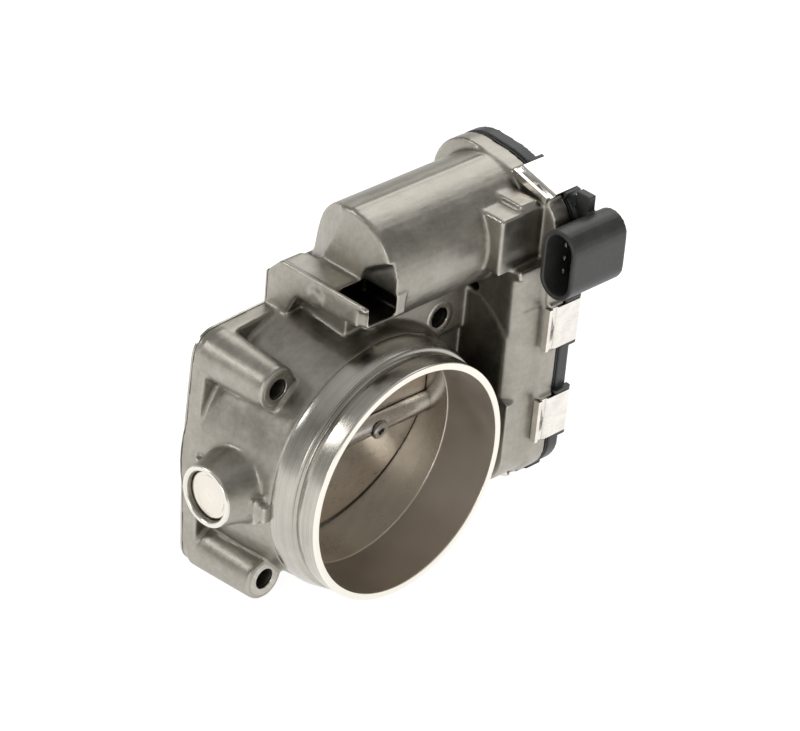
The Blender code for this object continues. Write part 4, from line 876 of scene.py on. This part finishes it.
# ---------------------------------------------------------------- sub-assemblies
@dataclass
class Housing:
    """The aluminium casting: a softened body with its machined places as crisp turned pieces."""

    bore: float = 41.0 * MM
    entry: float = 41.32 * MM
    lip: float = 44.0 * MM
    collar: float = 46.6 * MM
    ring_start: float = -60.0 * MM
    groove_at: float = -51.2 * MM
    ring_end: float = -42.0 * MM
    bore_edge: float = -37.2 * MM
    sleeve: float = 42.7 * MM
    cut: float = 42.4 * MM
    room: float = 1.4 * MM
    overlap: float = 0.7 * MM
    past_face: float = 2.0 * MM
    cast_room: float = 0.5 * MM
    face_skin: float = 0.8 * MM
    face_throat: float = 42.65 * MM
    face_low: tuple[float, float] = (-60.0 * MM, -60.0 * MM)
    face_high: tuple[float, float] = (48.5 * MM, 60.0 * MM)
    voxel: float = 0.72 * MM
    passes: int = 5
    share: float = 0.62
    seat_y: float = -32.7 * MM
    high_seat_y: float = -33.0 * MM
    bolt_at: float = 37.5 * MM
    hole: float = 3.7 * MM
    seat: float = 6.3 * MM
    boss_axis: tuple[float, float] = (-24.3 * MM, 0.0)
    boss_face: float = -59.64 * MM
    boss: float = 10.93 * MM
    recess: float = 8.9 * MM
    rim_soft: float = 0.12 * MM
    tub_corner: tuple[float, float] = (48.8 * MM, -58.1 * MM)
    tub_bevel: float = 7.2 * MM
    tub_edge: Band = (9.0 * MM, 57.0 * MM)
    lip_box: Box = (mm(-20.0, -48.0, 50.0), mm(-12.0, -43.4, 63.7))
    pocket_box: Box = (mm(-9.5, -45.0, 57.6), mm(4.6, -28.0, 64.2))
    ribs: tuple[Box, ...] = ((mm(-51.0, -39.4, -7.5), mm(-44.0, -38.0, 2.5)),
                             (mm(-49.5, -42.0, -6.0), mm(-44.0, -40.8, 0.5)),
                             (mm(-51.0, -13.5, 3.0), mm(-46.0, -9.0, 4.4)))
    crease: tuple[Box, ...] = ((mm(-0.9, -21.6, 86.0), mm(-0.9, -10.5, 58.5)),
                               (mm(8.6, 4.0, 92.0), mm(8.6, 4.0, 62.0)),
                               (mm(-6.0, 4.0, 92.0), mm(-6.0, 4.0, 62.0)))

    def build_body(self, finish: bpy.types.Material) -> None:
        """Copies the CAD casting, takes out what is machined, and rounds the rest.

        Args:
            finish: the cast finish.
        """
        body = merged_copy("housing", "casting_body")
        front = self.ring_start - self.past_face
        outer = self.collar + self.room
        step = self.ring_end - self.overlap
        ring = np.array([(front, 0.0), (front, outer), (step, outer), (step, self.cut),
                         (self.past_face, self.cut), (self.past_face, 0.0)])
        carve(body, turned("ring_tool", ring, Axis.Y, ON_AXIS, steps=96))
        carve(body, self._face_layer("face_tool", self.face_skin / 2))
        carve(body, self._crease_tool())
        for tool in self._edge_tools():
            carve(body, tool)
        for low, high in self.ribs:
            carve(body, block("boss_rib", low, high), "UNION")
        soften(body, self.voxel, self.passes, self.share)
        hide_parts("housing")
        dress(body, finish, "housing")

    def _face_layer(self, name: str, depth: float) -> bpy.types.Object:
        """Block that holds the flange's rear layer, from a depth in front of its face."""
        return block(name, (self.face_low[0], -depth, self.face_low[1]),
                     (self.face_high[0], self.past_face, self.face_high[1]))

    def _edge_tools(self) -> list[bpy.types.Object]:
        """Tools for the gear tub's bevelled front edge, the wall below the shelf lip and the deep pocket.

        Returns:
            The three tools.
        """
        x, y = self.tub_corner
        corner = [(x + self.tub_bevel, y), (x, y + self.tub_bevel), (x, y)]
        points = [(*place, z) for z in self.tub_edge for place in corner]
        faces = [(0, 1, 2), (3, 5, 4), (0, 3, 4, 1), (1, 4, 5, 2), (2, 5, 3, 0)]
        edge = close_piece("tub_edge_tool", points, faces)
        return [edge, block("lip_tool", *self.lip_box), block("pocket_tool", *self.pocket_box)]

    def _crease_tool(self) -> bpy.types.Object:
        """Wedge that slopes the rear part of the motor tube's closed end away behind a crease.

        Returns:
            The wedge, between its three upright edges: front, deep and outer.
        """
        points = [place for edge in self.crease for place in edge]
        faces = [(0, 2, 4), (1, 5, 3), (0, 1, 3, 2), (2, 3, 5, 4), (0, 4, 5, 1)]
        return close_piece("crease_tool", points, faces)

    def build_barrel(self, finish: bpy.types.Material) -> None:
        """Turns the inlet lip, groove, collar and the bored inside as one ring.

        Args:
            finish: the machined finish.
        """
        start, groove, end = self.ring_start, self.groove_at, self.ring_end
        corners = [
            (start, self.entry, 0.35 * MM),
            (start, self.lip, 0.7 * MM),
            (start + 6.4 * MM, self.lip, 0.4 * MM),
            (groove - 0.5 * MM, self.lip - 0.45 * MM, 0.4 * MM),
            (groove, self.lip - 0.75 * MM, 0.3 * MM),
            (groove + 0.7 * MM, self.lip - 0.2 * MM, 0.3 * MM),
            (groove + 1.1 * MM, self.lip + 1.0 * MM, 0.6 * MM),
            (end - 2.2 * MM, self.collar, 1.2 * MM),
            (end, self.collar + 0.1 * MM, 0.4 * MM),
            (end + 0.3 * MM, self.sleeve, 0.2 * MM),
            (0.0, self.sleeve, 0.2 * MM),
            (0.0, self.bore, 0.25 * MM),
            (self.bore_edge, self.bore, 0.12 * MM),
            (self.bore_edge - 0.25 * MM, self.entry, 0.12 * MM),
        ]
        barrel = turned("machined_barrel", rounded_profile(corners, steps=5), Axis.Y, ON_AXIS, steps=256)
        dress(barrel, finish, "housing")

    def build_flange_face(self, finish: bpy.types.Material) -> None:
        """Keeps the thin rear layer of the flange as its milled face.

        Args:
            finish: the milled finish.
        """
        face = merged_copy("housing", "flange_face")
        carve(face, self._face_layer("face_keep", self.face_skin), "INTERSECT")
        reach = 2.0 * self.past_face
        ring = np.array([(-reach, 0.0), (-reach, self.face_throat), (reach, self.face_throat), (reach, 0.0)])
        carve(face, turned("throat_tool", ring, Axis.Y, ON_AXIS, steps=128))
        face.data.shade_smooth()
        face.data.set_sharp_from_angle(angle=SHARP_ANGLE)
        dress(face, finish, "housing")

    def build_seats(self, finish: bpy.types.Material) -> None:
        """Turns the spot-faced ring round each bolt hole.

        Args:
            finish: the spot-faced finish.
        """
        spots = [(-1, -1, self.seat_y), (1, -1, self.seat_y), (1, 1, self.high_seat_y), (-1, 1, self.seat_y)]
        for number, (side, level, height) in enumerate(spots, 1):
            face = height - 0.03 * MM
            corners = [
                (face, self.hole + 0.15 * MM, 0.1 * MM),
                (face, self.seat, 0.12 * MM),
                (height + 0.8 * MM, self.seat, 0.1 * MM),
                (height + 3.0 * MM, self.hole, 0.1 * MM),
                (height + 0.4 * MM, self.hole, 0.1 * MM),
            ]
            centre = (side * self.bolt_at, level * self.bolt_at)
            seat = turned(f"bolt_seat_{number}", rounded_profile(corners, steps=3), Axis.Y, centre, steps=96)
            dress(seat, finish, "housing")

    def build_plug_rim(self, finish: bpy.types.Material) -> None:
        """Turns the chamfered rim of the shaft boss with the snap grooves in its recess.

        Args:
            finish: the machined finish.
        """
        outside = [(0.0, -0.3), (0.35, 0.02), (3.0, 0.15), (3.4, -0.8)]
        inside = [(3.4, 0.02), (2.3, 0.02), (2.15, 0.4), (1.75, 0.4), (1.6, 0.05), (1.1, 0.05),
                  (0.95, 0.35), (0.65, 0.35), (0.5, 0.1)]
        corners = [(self.boss_face, self.recess + 0.55 * MM, self.rim_soft)]
        for radius, outline in ((self.boss, outside), (self.recess, inside)):
            for deep, out in outline:
                corners.append((self.boss_face + deep * MM, radius + out * MM, self.rim_soft))
        profile = rounded_profile(corners, steps=3)
        rim = turned("plug_boss_rim", profile, Axis.X, self.boss_axis, steps=160)
        dress(rim, finish, "housing")


@dataclass
class Plug:
    """Pressed cap that closes the shaft bore."""

    axis: tuple[float, float] = (-24.3 * MM, 0.0)
    flat_share: float = 0.80
    ring_shares: Band = (0.86, 0.95)
    dish: float = 0.25 * MM
    rolled: float = 0.3 * MM

    def build(self, finish: bpy.types.Material) -> None:
        """Turns a shallow dished cap in the CAD plug's box: a flat centre, a raised ring and a rolled edge.

        Args:
            finish: the cap's finish.
        """
        low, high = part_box("end_plug")
        radius = (high.z - low.z) / 2
        outer, inner = low.x, high.x
        ring_low, ring_high = self.ring_shares
        corners = [
            (outer + self.dish, 0.0, 0.0),
            (outer + self.dish, radius * self.flat_share, 0.4 * MM),
            (outer, radius * ring_low, 0.2 * MM),
            (outer, radius * ring_high, 0.2 * MM),
            (outer + self.rolled, radius, 0.2 * MM),
            (inner, radius, 0.1 * MM),
            (inner, 0.0, 0.0),
        ]
        cap = turned("end_plug_cap", rounded_profile(corners, steps=4), Axis.X, self.axis, steps=128)
        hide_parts("end_plug")
        dress(cap, finish, "housing")


@dataclass
class Valve:
    """Butterfly plate, its shaft and its two screws."""

    shaft_axis: tuple[float, float] = (-24.3 * MM, 0.0)
    screws: int = 2
    rest: float = radians(11.0)
    head_top: float = 6.0 * MM
    lobes: int = 6
    star: float = 1.35 * MM
    star_lobe: float = 0.22 * MM
    star_depth: float = 1.3 * MM

    def build_plate(self, finish: bpy.types.Material) -> None:
        """Copies the CAD plate.

        Args:
            finish: the plate's finish, which rounds its edges.
        """
        plate = merged_copy("throttle_plate", "butterfly_plate")
        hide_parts("throttle_plate")
        dress(plate, finish, "throttle")

    def build_shaft(self, finish: bpy.types.Material) -> None:
        """Copies the CAD shaft with its round parts smooth.

        Args:
            finish: the shaft's finish.
        """
        shaft = merged_copy("throttle_shaft", "valve_shaft")
        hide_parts("throttle_shaft")
        dress(shaft, finish, "throttle")

    def build_screws(self, finish: bpy.types.Material) -> None:
        """Copies each CAD screw and sinks a star recess in its head.

        Args:
            finish: the screws' finish.
        """
        aim = (-cos(self.rest), -sin(self.rest))
        head = [start + self.head_top * step for start, step in zip(self.shaft_axis, aim)]
        for number in range(1, self.screws + 1):
            node = f"plate_screw_{number}"
            screw = merged_copy(node, f"valve_screw_{number}")
            low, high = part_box(node)
            place = ((low.x + high.x) / 2, *head)
            carve(screw, upright(f"star_{number}", place, aim, self.star, self.star_depth, self.lobes,
                                 self.star_lobe))
            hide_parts(node)
            dress(screw, finish, "throttle")


@dataclass
class Cover:
    """Moulded cover with the cable socket, its blades and clips."""

    voxel: float = 0.42 * MM
    passes: int = 3
    clips: int = 6
    blades: int = 6

    def build_shell(self, finish: bpy.types.Material) -> None:
        """Copies the CAD cover and rounds its edges as moulded.

        Args:
            finish: the cover's plastic.
        """
        shell = merged_copy("gear_cover", "cover_shell")
        soften(shell, self.voxel, self.passes)
        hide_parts("gear_cover")
        dress(shell, finish, "housing")

    def build_clips(self, finish: bpy.types.Material, guard: bpy.types.Material) -> None:
        """Bends each clip from one strip, and puts the cover's guard bars at its two ends.

        Args:
            finish: the strips' finish.
            guard: the bars' plastic.
        """
        for number in range(1, self.clips + 1):
            node = f"cover_clip_{number}"
            place = ClipFrame.measured(node)
            clip = place.bent_strip(f"spring_clip_{number}")
            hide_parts(node)
            dress(clip, finish, "housing")
            for side, word in ((-1.0, "a"), (1.0, "b")):
                bar = place.guard_bar(f"clip_guard_{number}{word}", side)
                dress(bar, guard, "housing")


@dataclass(frozen=True)
class ClipFrame:
    """Where one clip sits: its middle on the outer face, its width direction and its outward direction."""

    middle: np.ndarray
    width: np.ndarray
    outward: np.ndarray
    start: float
    end: float
    half: float
    drop: float
    thick: float = 0.5 * MM
    groove: float = 0.8 * MM
    hole: float = 1.0 * MM
    hole_at: float = 2.9 * MM
    hole_reach: float = 3.0 * MM
    bar: float = 0.9 * MM
    bar_back: float = 7.6 * MM
    bar_front: float = 0.25 * MM
    bar_gap: float = 0.15 * MM
    bar_end: float = 1.4 * MM
    sink: float = 1.1 * MM
    end_soft: float = 0.25 * MM
    pull: float = 0.06

    @classmethod
    def measured(cls, node: str) -> "ClipFrame":
        """Reads the frame off the CAD clip, whose points spread most along the width, least outwards.

        Args:
            node: the CAD clip.

        Returns:
            The frame.
        """
        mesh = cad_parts[node].data
        points = np.empty(len(mesh.vertices) * 3)
        mesh.vertices.foreach_get("co", points)
        points = points.reshape(-1, 3)
        flat = points[:, 1:]
        centre = flat.mean(axis=0)
        spread = np.linalg.svd(flat - centre, full_matrices=False)[2]
        width, outward = spread[0], spread[1]
        heights = (flat - centre) @ outward
        if abs(heights.min()) < abs(heights.max()):
            outward, heights = -outward, -heights
        across = (flat - centre) @ width
        middle = centre + outward * heights.max() + width * (across.max() + across.min()) / 2
        return cls(middle, width, outward, points[:, 0].min(), points[:, 0].max(),
                   (across.max() - across.min()) / 2, heights.max() - heights.min())

    def swept(self, name: str, outline: np.ndarray, low: float, high: float) -> bpy.types.Object:
        """Carries an outline of (x, outward height) along the width, drawn in a little at both ends.

        Args:
            name: name of the piece.
            outline: array of shape (n, 2), closed.
            low: first end along the width.
            high: last end along the width.

        Returns:
            The closed piece.
        """
        count = len(outline)
        bend = min(self.end_soft, (high - low) / 8)
        stations = np.array([low, low + bend * 0.3, low + bend, high - bend, high - bend * 0.3, high])
        inset = np.array([0.55, 0.16, 0.0, 0.0, 0.16, 0.55]) * self.pull
        heart = outline.mean(axis=0)
        rings = outline[None] + (heart - outline)[None] * inset[:, None, None]
        yz = (self.middle[None, None] + rings[..., 1:] * self.outward[None, None]
              + stations[:, None, None] * self.width[None, None])
        points = np.concatenate([rings[..., :1], yz], axis=-1)
        index = np.arange(len(stations) * count).reshape(len(stations), count)
        after = np.roll(index, -1, axis=1)
        quads = np.stack([index[:-1], after[:-1], after[1:], index[1:]], axis=-1).reshape(-1, 4).tolist()
        caps = [index[0].tolist(), index[-1].tolist()]
        return close_piece(name, points.reshape(-1, 3).tolist(), quads + caps)

    def bent_strip(self, name: str) -> bpy.types.Object:
        """Strip with two hooks, a narrow upright lip, a pressed groove with a hole, and a wide main face.

        Args:
            name: name of the piece.

        Returns:
            The strip.
        """
        front = [(0.0, -0.05), (0.3, 0.0), (1.3, 0.0), (1.6, -0.2)]
        rise = [(4.1, -0.4), (4.7, 0.0)]
        back = [(-0.8, 0.0), (-0.25, -0.12), (0.0, -0.7)]
        start, end, thick, deep, groove = self.start, self.end, self.thick, -self.drop, -self.groove
        outer = [(start, deep)] + [(start + x * MM, height * MM) for x, height in front]
        outer += [(start + 1.7 * MM, groove), (start + 3.9 * MM, groove)]
        outer += [(start + x * MM, height * MM) for x, height in rise]
        outer += [(end + x * MM, height * MM) for x, height in back] + [(end, deep)]
        inner = [(end - thick, deep), (end - thick, -0.75 * MM), (end - 0.9 * MM, -thick),
                 (start + 4.9 * MM, -thick), (start + 4.4 * MM, -0.75 * MM),
                 (start + 4.2 * MM, groove - thick), (start + 1.3 * MM, groove - thick),
                 (start + 1.2 * MM, -0.7 * MM), (start + 1.1 * MM, -thick),
                 (start + thick, -thick), (start + thick, deep)]
        strip = self.swept(name, np.array(outer + inner), -self.half, self.half)
        place = (start + self.hole_at, *self.middle)
        return carve(strip, upright(f"{name}_hole", place, self.outward, self.hole, self.hole_reach))

    def guard_bar(self, name: str, side: float) -> bpy.types.Object:
        """Rounded bar of the cover beside one end of the clip: half a capsule of (x, height) over a floor.

        Args:
            name: name of the piece.
            side: -1 for the first end of the width, 1 for the last.

        Returns:
            The bar.
        """
        low, high = self.end - self.bar_back, self.end + self.bar_front
        turn = np.linspace(0.0, pi, 9)
        rise = self.bar * np.sin(turn) - self.sink
        reach = self.bar * np.cos(turn)
        top = np.stack([high - self.bar + reach, rise], axis=-1)[:5]
        back = np.stack([low + self.bar + reach, rise], axis=-1)[4:]
        floor = np.array([(low, -self.drop), (high, -self.drop)])
        ends = sorted((side * (self.half + self.bar_gap), side * (self.half + self.bar_end)))
        return self.swept(name, np.vstack([top, back, floor]), *ends)


@dataclass
class CarriedParts:
    """CAD nodes that keep their own mesh and get only a finish."""

    finishes: dict[str, bpy.types.Material] = field(default_factory=dict)

    def dress(self) -> None:
        """Assigns the finishes by node."""
        for name, finish in self.finishes.items():
            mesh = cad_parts[name].data
            mesh.materials.clear()
            mesh.materials.append(finish)
            LOG.info("%s keeps its own mesh", name)


@dataclass(frozen=True)
class Lamp:
    """One square soft box: where it hangs, where it aims, its side in metres and its watts."""

    name: str
    place: Triple
    aim: Triple
    side: float
    watts: float

    def hang(self) -> None:
        """Adds the light."""
        data = bpy.data.lights.new(self.name, "AREA")
        data.size = self.side
        data.energy = self.watts
        lamp = bpy.data.objects.new(self.name, data)
        lamp.location = self.place
        lamp.rotation_euler = (Vector(self.aim) - Vector(self.place)).to_track_quat("-Z", "Y").to_euler()
        bpy.context.scene.collection.objects.link(lamp)


@dataclass
class Studio:
    """Floor, soft lights and the camera."""

    azimuth: float = -47.499
    elevation: float = 31.343
    roll: float = 5.154
    distance: float = 1.371765
    target: Triple = (0.02311, -0.0300, 0.022519)
    lens: float = 182.61
    sensor: float = 36.0
    clip: Band = (0.02, 20.0)
    floor_dark: Colour = (0.40, 0.40, 0.40)
    floor_light: Colour = (0.44, 0.44, 0.44)
    floor_rough: float = 0.75
    floor_glow: float = 0.90
    floor_half: float = 6.0
    floor_gap: float = 0.4 * MM
    floor_speck: float = 20.0 * MM
    room_strength: float = 0.60
    room_stops: tuple[tuple[float, Colour], ...] = (
        (0.0, (1.0, 1.0, 0.97)), (0.30, (0.66, 0.66, 0.6402)), (0.64, (0.38, 0.38, 0.3686)),
        (1.0, (1.0, 1.0, 1.0)))
    lamps: tuple[Lamp, ...] = (
        Lamp("overhead", (1.12, 0.58, 1.18), (0.02, -0.03, 0.03), side=1.2, watts=8.0),
        Lamp("behind", (-0.96, 0.92, 0.90), (0.0, -0.04, 0.02), side=0.35, watts=3.4),
        Lamp("left", (-1.5, -0.7, 0.55), (0.0, -0.04, 0.02), side=0.6, watts=4.0))

    def build_camera(self) -> None:
        """Places the camera at its bearing round the target and rolls it about its own line of sight."""
        bearing, height, roll = radians(self.azimuth), radians(self.elevation), radians(self.roll)
        back = Vector((sin(bearing) * cos(height), -cos(bearing) * cos(height), sin(height)))
        right = Vector((cos(bearing), sin(bearing), 0.0))
        up = back.cross(right)
        right_rolled = right * cos(roll) + up * sin(roll)
        up_rolled = up * cos(roll) - right * sin(roll)
        turn = Matrix((right_rolled, up_rolled, back)).transposed().to_4x4()
        data = bpy.data.cameras.new("camera")
        data.lens = self.lens
        data.sensor_width = self.sensor
        data.clip_start, data.clip_end = self.clip
        camera = bpy.data.objects.new("camera", data)
        camera.matrix_world = Matrix.Translation(Vector(self.target) + back * self.distance) @ turn
        bpy.context.scene.collection.objects.link(camera)
        bpy.context.scene.camera = camera

    def build_floor(self) -> None:
        """Lays a wide pale floor just below the object."""
        graph = Graph("studio_floor")
        speck = graph.noise(graph.place(), self.floor_speck, detail=2.0)
        colour = graph.blend(speck, self.floor_dark, self.floor_light)
        glow = {"Emission Color": (1.0, 1.0, 1.0, 1.0), "Emission Strength": self.floor_glow}
        paint = graph.finish(colour, self.floor_rough, None, extra=glow)
        level = CAD_LOW.z - self.floor_gap
        ticks = np.linspace(-self.floor_half, self.floor_half, 5)
        flat = np.meshgrid(ticks, ticks, indexing="ij")
        grid = np.stack([*flat, np.full_like(flat[0], level)], axis=-1)
        floor = grid_piece("studio_floor", grid, False, False)
        if floor.data.polygons[0].normal.z < 0:
            floor.data.flip_normals()
        floor.data.materials.append(paint)

    def build_lights(self) -> None:
        """Hangs the soft boxes and sets the room light, a ramp of brightness over height."""
        for lamp in self.lamps:
            lamp.hang()
        world = bpy.data.worlds.new("room")
        world.use_nodes = True
        tree = world.node_tree
        background = tree.nodes["Background"]
        background.inputs["Strength"].default_value = self.room_strength
        sky = tree.nodes.new("ShaderNodeTexCoord")
        split = tree.nodes.new("ShaderNodeSeparateXYZ")
        ramp = tree.nodes.new("ShaderNodeValToRGB")
        stops = ramp.color_ramp.elements
        stops[0].color = (*self.room_stops[0][1], 1.0)
        stops[1].color = (*self.room_stops[-1][1], 1.0)
        for height, colour in self.room_stops[1:-1]:
            stops.new(height).color = (*colour, 1.0)
        tree.links.new(sky.outputs["Generated"], split.inputs[0])
        tree.links.new(split.outputs[2], ramp.inputs[0])
        tree.links.new(ramp.outputs[0], background.inputs["Color"])
        bpy.context.scene.world = world
        bpy.context.scene.view_settings.view_transform = "Standard"


def main() -> None:
    """Builds the sub-assemblies in order."""
    logging.basicConfig(level=logging.INFO, format="%(message)s")
    cast = CastMetal().build()
    housing = Housing()
    bored = TurnedMetal("machined_bore", Axis.Y, cast_within=housing.entry + housing.cast_room,
                        cast_before=housing.bore_edge).build()
    seat_metal = TurnedMetal("spot_face", Axis.Y).build()
    housing.build_body(cast)
    housing.build_barrel(bored)
    housing.build_flange_face(TurnedMetal("milled_face", Axis.Y).build())
    housing.build_seats(seat_metal)
    boss_metal = TurnedMetal("machined_boss", Axis.X, housing.boss_axis,
                             (0.62, 0.59, 0.53), (0.86, 0.83, 0.76))
    housing.build_plug_rim(boss_metal.build())
    cap_metal = TurnedMetal("bright_cap", Axis.X, Plug.axis, (0.70, 0.655, 0.58), (0.84, 0.79, 0.71), 0.2)
    Plug().build(cap_metal.build())

    valve = Valve()
    valve.build_plate(FlatMetal("plate_aluminium", (0.56, 0.50, 0.43), 0.30).build())
    valve.build_shaft(FlatMetal("ground_steel", (0.52, 0.49, 0.45), 0.26).build())
    screw_metal = FlatMetal("plated_screw", (0.46, 0.45, 0.42), 0.34).build()
    valve.build_screws(screw_metal)

    black = MouldedPlastic("cover_plastic", (0.034, 0.034, 0.033), 0.42).build()
    cover = Cover()
    cover.build_shell(black)
    strip = FlatMetal("bright_spring_strip", (0.90, 0.86, 0.80), 0.22).build()
    cover.build_clips(strip, black)

    rubber = SoftRubber().build()
    brass = FlatMetal("brass", (0.75, 0.60, 0.30), 0.30).build()
    tin = FlatMetal("tinned_blade", (0.78, 0.75, 0.66), 0.28).build()
    dark_steel = FlatMetal("laminated_core", (0.36, 0.34, 0.31), 0.42).build()
    zinc = FlatMetal("zinc_can", (0.60, 0.61, 0.62), 0.36).build()
    wire = FlatMetal("spring_wire", (0.36, 0.36, 0.37), 0.32).build()
    ferrite = MouldedPlastic("ferrite", (0.055, 0.053, 0.052), 0.6).build()
    amber = MouldedPlastic("sector_nylon", (0.60, 0.52, 0.36), 0.42).build()
    ivory = MouldedPlastic("idler_nylon", (0.74, 0.71, 0.62), 0.42).build()
    drawn = FlatMetal("drawn_sleeve", (0.62, 0.61, 0.60), 0.3).build()
    parts = CarriedParts({
        "cover_seal": rubber, "shaft_seal_plug_side": rubber, "shaft_seal_gear_side": rubber,
        "throttle_gear": amber, "intermediate_gear": ivory, "sensor_magnet": ferrite,
        "motor_magnet_1": ferrite, "motor_magnet_2": ferrite, "bearing_plug_side": drawn,
        "bearing_gear_side": drawn, "intermediate_pin": drawn, "stop_screw": screw_metal,
        "motor_screw_1": screw_metal, "motor_screw_2": screw_metal, "motor_can": zinc,
        "motor_rotor": dark_steel, "motor_pinion": brass, "motor_terminal_1": brass,
        "motor_terminal_2": brass, "motor_end_bell": black, "position_sensor": black,
        "return_spring": wire, "wave_washer": wire,
    })
    parts.finishes.update({f"connector_pin_{n}": tin for n in range(1, cover.blades + 1)})
    parts.dress()

    studio = Studio()
    studio.build_floor()
    studio.build_lights()
    studio.build_camera()


if __name__ == "__main__":
    main()
